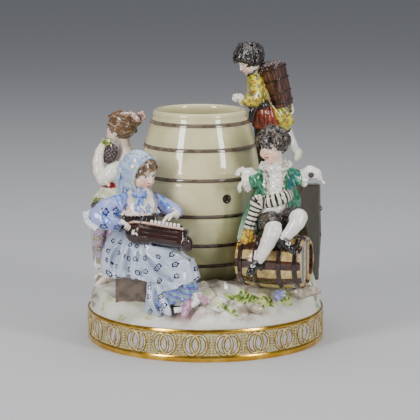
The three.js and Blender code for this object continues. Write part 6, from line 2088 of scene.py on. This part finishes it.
# Painted shade: near-black in the hollows between the corset's ribs, partly enamel pooling
scarlet = mottled("scarlet enamel corset laced in black", 0.07, 4, "#b02a15", "#7a1c10", "#2c0c0a",
                  between=(0.45, 0.62))
picker_corset.data.materials.append(scarlet)
clay = Clay(0.4)
clay.drape([(-72.6, 15.4, 99, 13, 14, 20, 0.08), (-71.2, 16.4, 104, 11, 12, 20, 0.06),
            (-69.8, 17.4, 109.4, 8.6, 9.8, 20, 0.02)],
           [(8, 0.2, 1), (15, 1, 0.35)], 1.2, False, 1.6)
picker_peplum = clay.skin("standing_girl_peplum")
cream_cloth, tree, body = glaze("cream cloth washed with green and rose", 0.08)
colour = blend(tree, share_between(tree, object_noise(tree, 7), 0.42, 0.62), "#ece7d6", "#c9cda8")
colour = blend(tree, share_between(tree, object_noise(tree, 5), 0.6, 0.7), colour, "#d9b3a6")
tree.links.new(pooled_and_shaded(tree, colour, "#8e8a72"), body.inputs["Base Color"])
picker_peplum.data.materials.append(cream_cloth)
clay = Clay(0.48)
PICKER_SKIRT = [(-69.4, 17.8, 110, 7.8, 9), (-72.4, 15.2, 94, 11, 13), (-74, 13, 74, 11, 14),
                (-74, 12, 52, 9.4, 12.8)]
clay.drape([tuple(s) + (0, f) for s, f in zip(PICKER_SKIRT, (0, 0.05, 0.08, 0.1))],
           [(6, 0.6, 1), (11, 2, 0.45)], 1.4, False, 1.6)
for path, thick in (([(-72, 100), (-76, 84), (-80, 64)], 1.8), ([(-68, 98), (-70, 80), (-72, 60)], 1.8),
                    ([(-74, 98), (-81, 86), (-84, 70)], 1.6), ([(-66, 92), (-66, 76), (-66.4, 58)], 1.6)):
    fold(clay, path, thick, 2.0)
for path in ([(-70, 94), (-73, 78), (-76, 60)], [(-67, 90), (-68, 74), (-69, 58)]):
    fold(clay, path, 1.3, 1.4, True)
picker_skirt = clay.skin("standing_girl_skirt")
wrap_round(picker_skirt, PICKER_SKIRT, 12)
flowered, tree, body = glaze("lilac enamel with yellow-green flowers", 0.08)
cloth = add(tree, "ShaderNodeAttribute", {"attribute_name": "cloth"}).outputs["Vector"]
colour = blend(tree, share_between(tree, object_noise(tree, 10), 0.42, 0.66), "#b29db3", "#8d7895")
for spacing, size, petals, seed, paint in ((6.0, 1.9, 4, 2.3, "#9aa060"), (8.4, 2.0, 5, 6.1, "#6b7038"),
                                           (7.2, 1.3, 5, 11.7, "#8a4a7a")):
    petal, eye = sprigs(tree, cloth, spacing, size, petals, seed)
    colour = blend(tree, petal, colour, paint)
    colour = blend(tree, eye, colour, "#d9cf7a")
tree.links.new(pooled_and_shaded(tree, colour, "#6a4c6e"), body.inputs["Base Color"])
picker_skirt.data.materials.append(flowered)
clay = Clay(0.42)
clay.drape([(-73.6, 12.4, 60, 8.4, 11.6, 0, 0.06), (-74.6, 11.6, 49.4, 9.4, 12.4, 0, 0.1)], [(9, 0.2, 1)],
           1.2, False, 1.4)
picker_petticoat = clay.skin("standing_girl_petticoat")
picker_petticoat.data.materials.append(linen)
for piece in (picker_blouse, picker_corset, picker_peplum, picker_skirt, picker_petticoat):
    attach(piece, "root")
    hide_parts("porcelain_group")

# Grapes in the standing girl's hands. A long dark bunch hangs from her raised hand under green
# vine leaves, and another lies in the lap of her peplum.
clay = Clay(0.32)
bunch(clay, (-71.2, 14.2, 134.4), (5.0, 4.0, 7.4), 1.25, 100, 11, turned_matrix(0, 24, 0))
bunch(clay, (-78.6, 7.4, 97.4), (6.4, 5.2, 3.0), 1.25, 80, 12, turned_matrix(0, -16, 0))
picker_grapes = clay.skin("standing_girl_grapes")
picker_grapes.data.materials.append(grape_enamel("brown-violet grapes", "#2a1c20", "#473438", "#6b5a58"))
clay = Clay(0.3)
for x, y, z, spin in ((-73.8, 10.8, 141.6, 20), (-70.6, 10.6, 143.4, -40), (-76.4, 10.4, 143.6, 70),
                      (-81.4, 3.4, 100, 10),
                      (-76.6, 2.6, 99.6, -30)):
    turn = turned_matrix(70, spin, 0)
    for lobe in (-1.0, -0.5, 0, 0.5, 1.0):
        a = lobe * 1.15
        reach = 3.4 - 0.9 * abs(lobe)
        tip = np.array([x, y, z]) + turn @ (np.array([math.sin(a), math.cos(a), 0.12]) * reach)
        clay.limb([(x, y, z, 0.9, 0.6), tuple(tip) + (0.7, 0.6)], 0.4)
vine_leaves = clay.skin("standing_girl_vine_leaves")
leaf_green = mottled("olive-green enamel vine leaves", 0.08, 2, "#5f6a2e", "#a3a35c", "#2c3012",
                     between=(0.45, 0.6))
vine_leaves.data.materials.append(leaf_green)
for piece in (picker_grapes, vine_leaves):
    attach(piece, "root")
    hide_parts("porcelain_group")
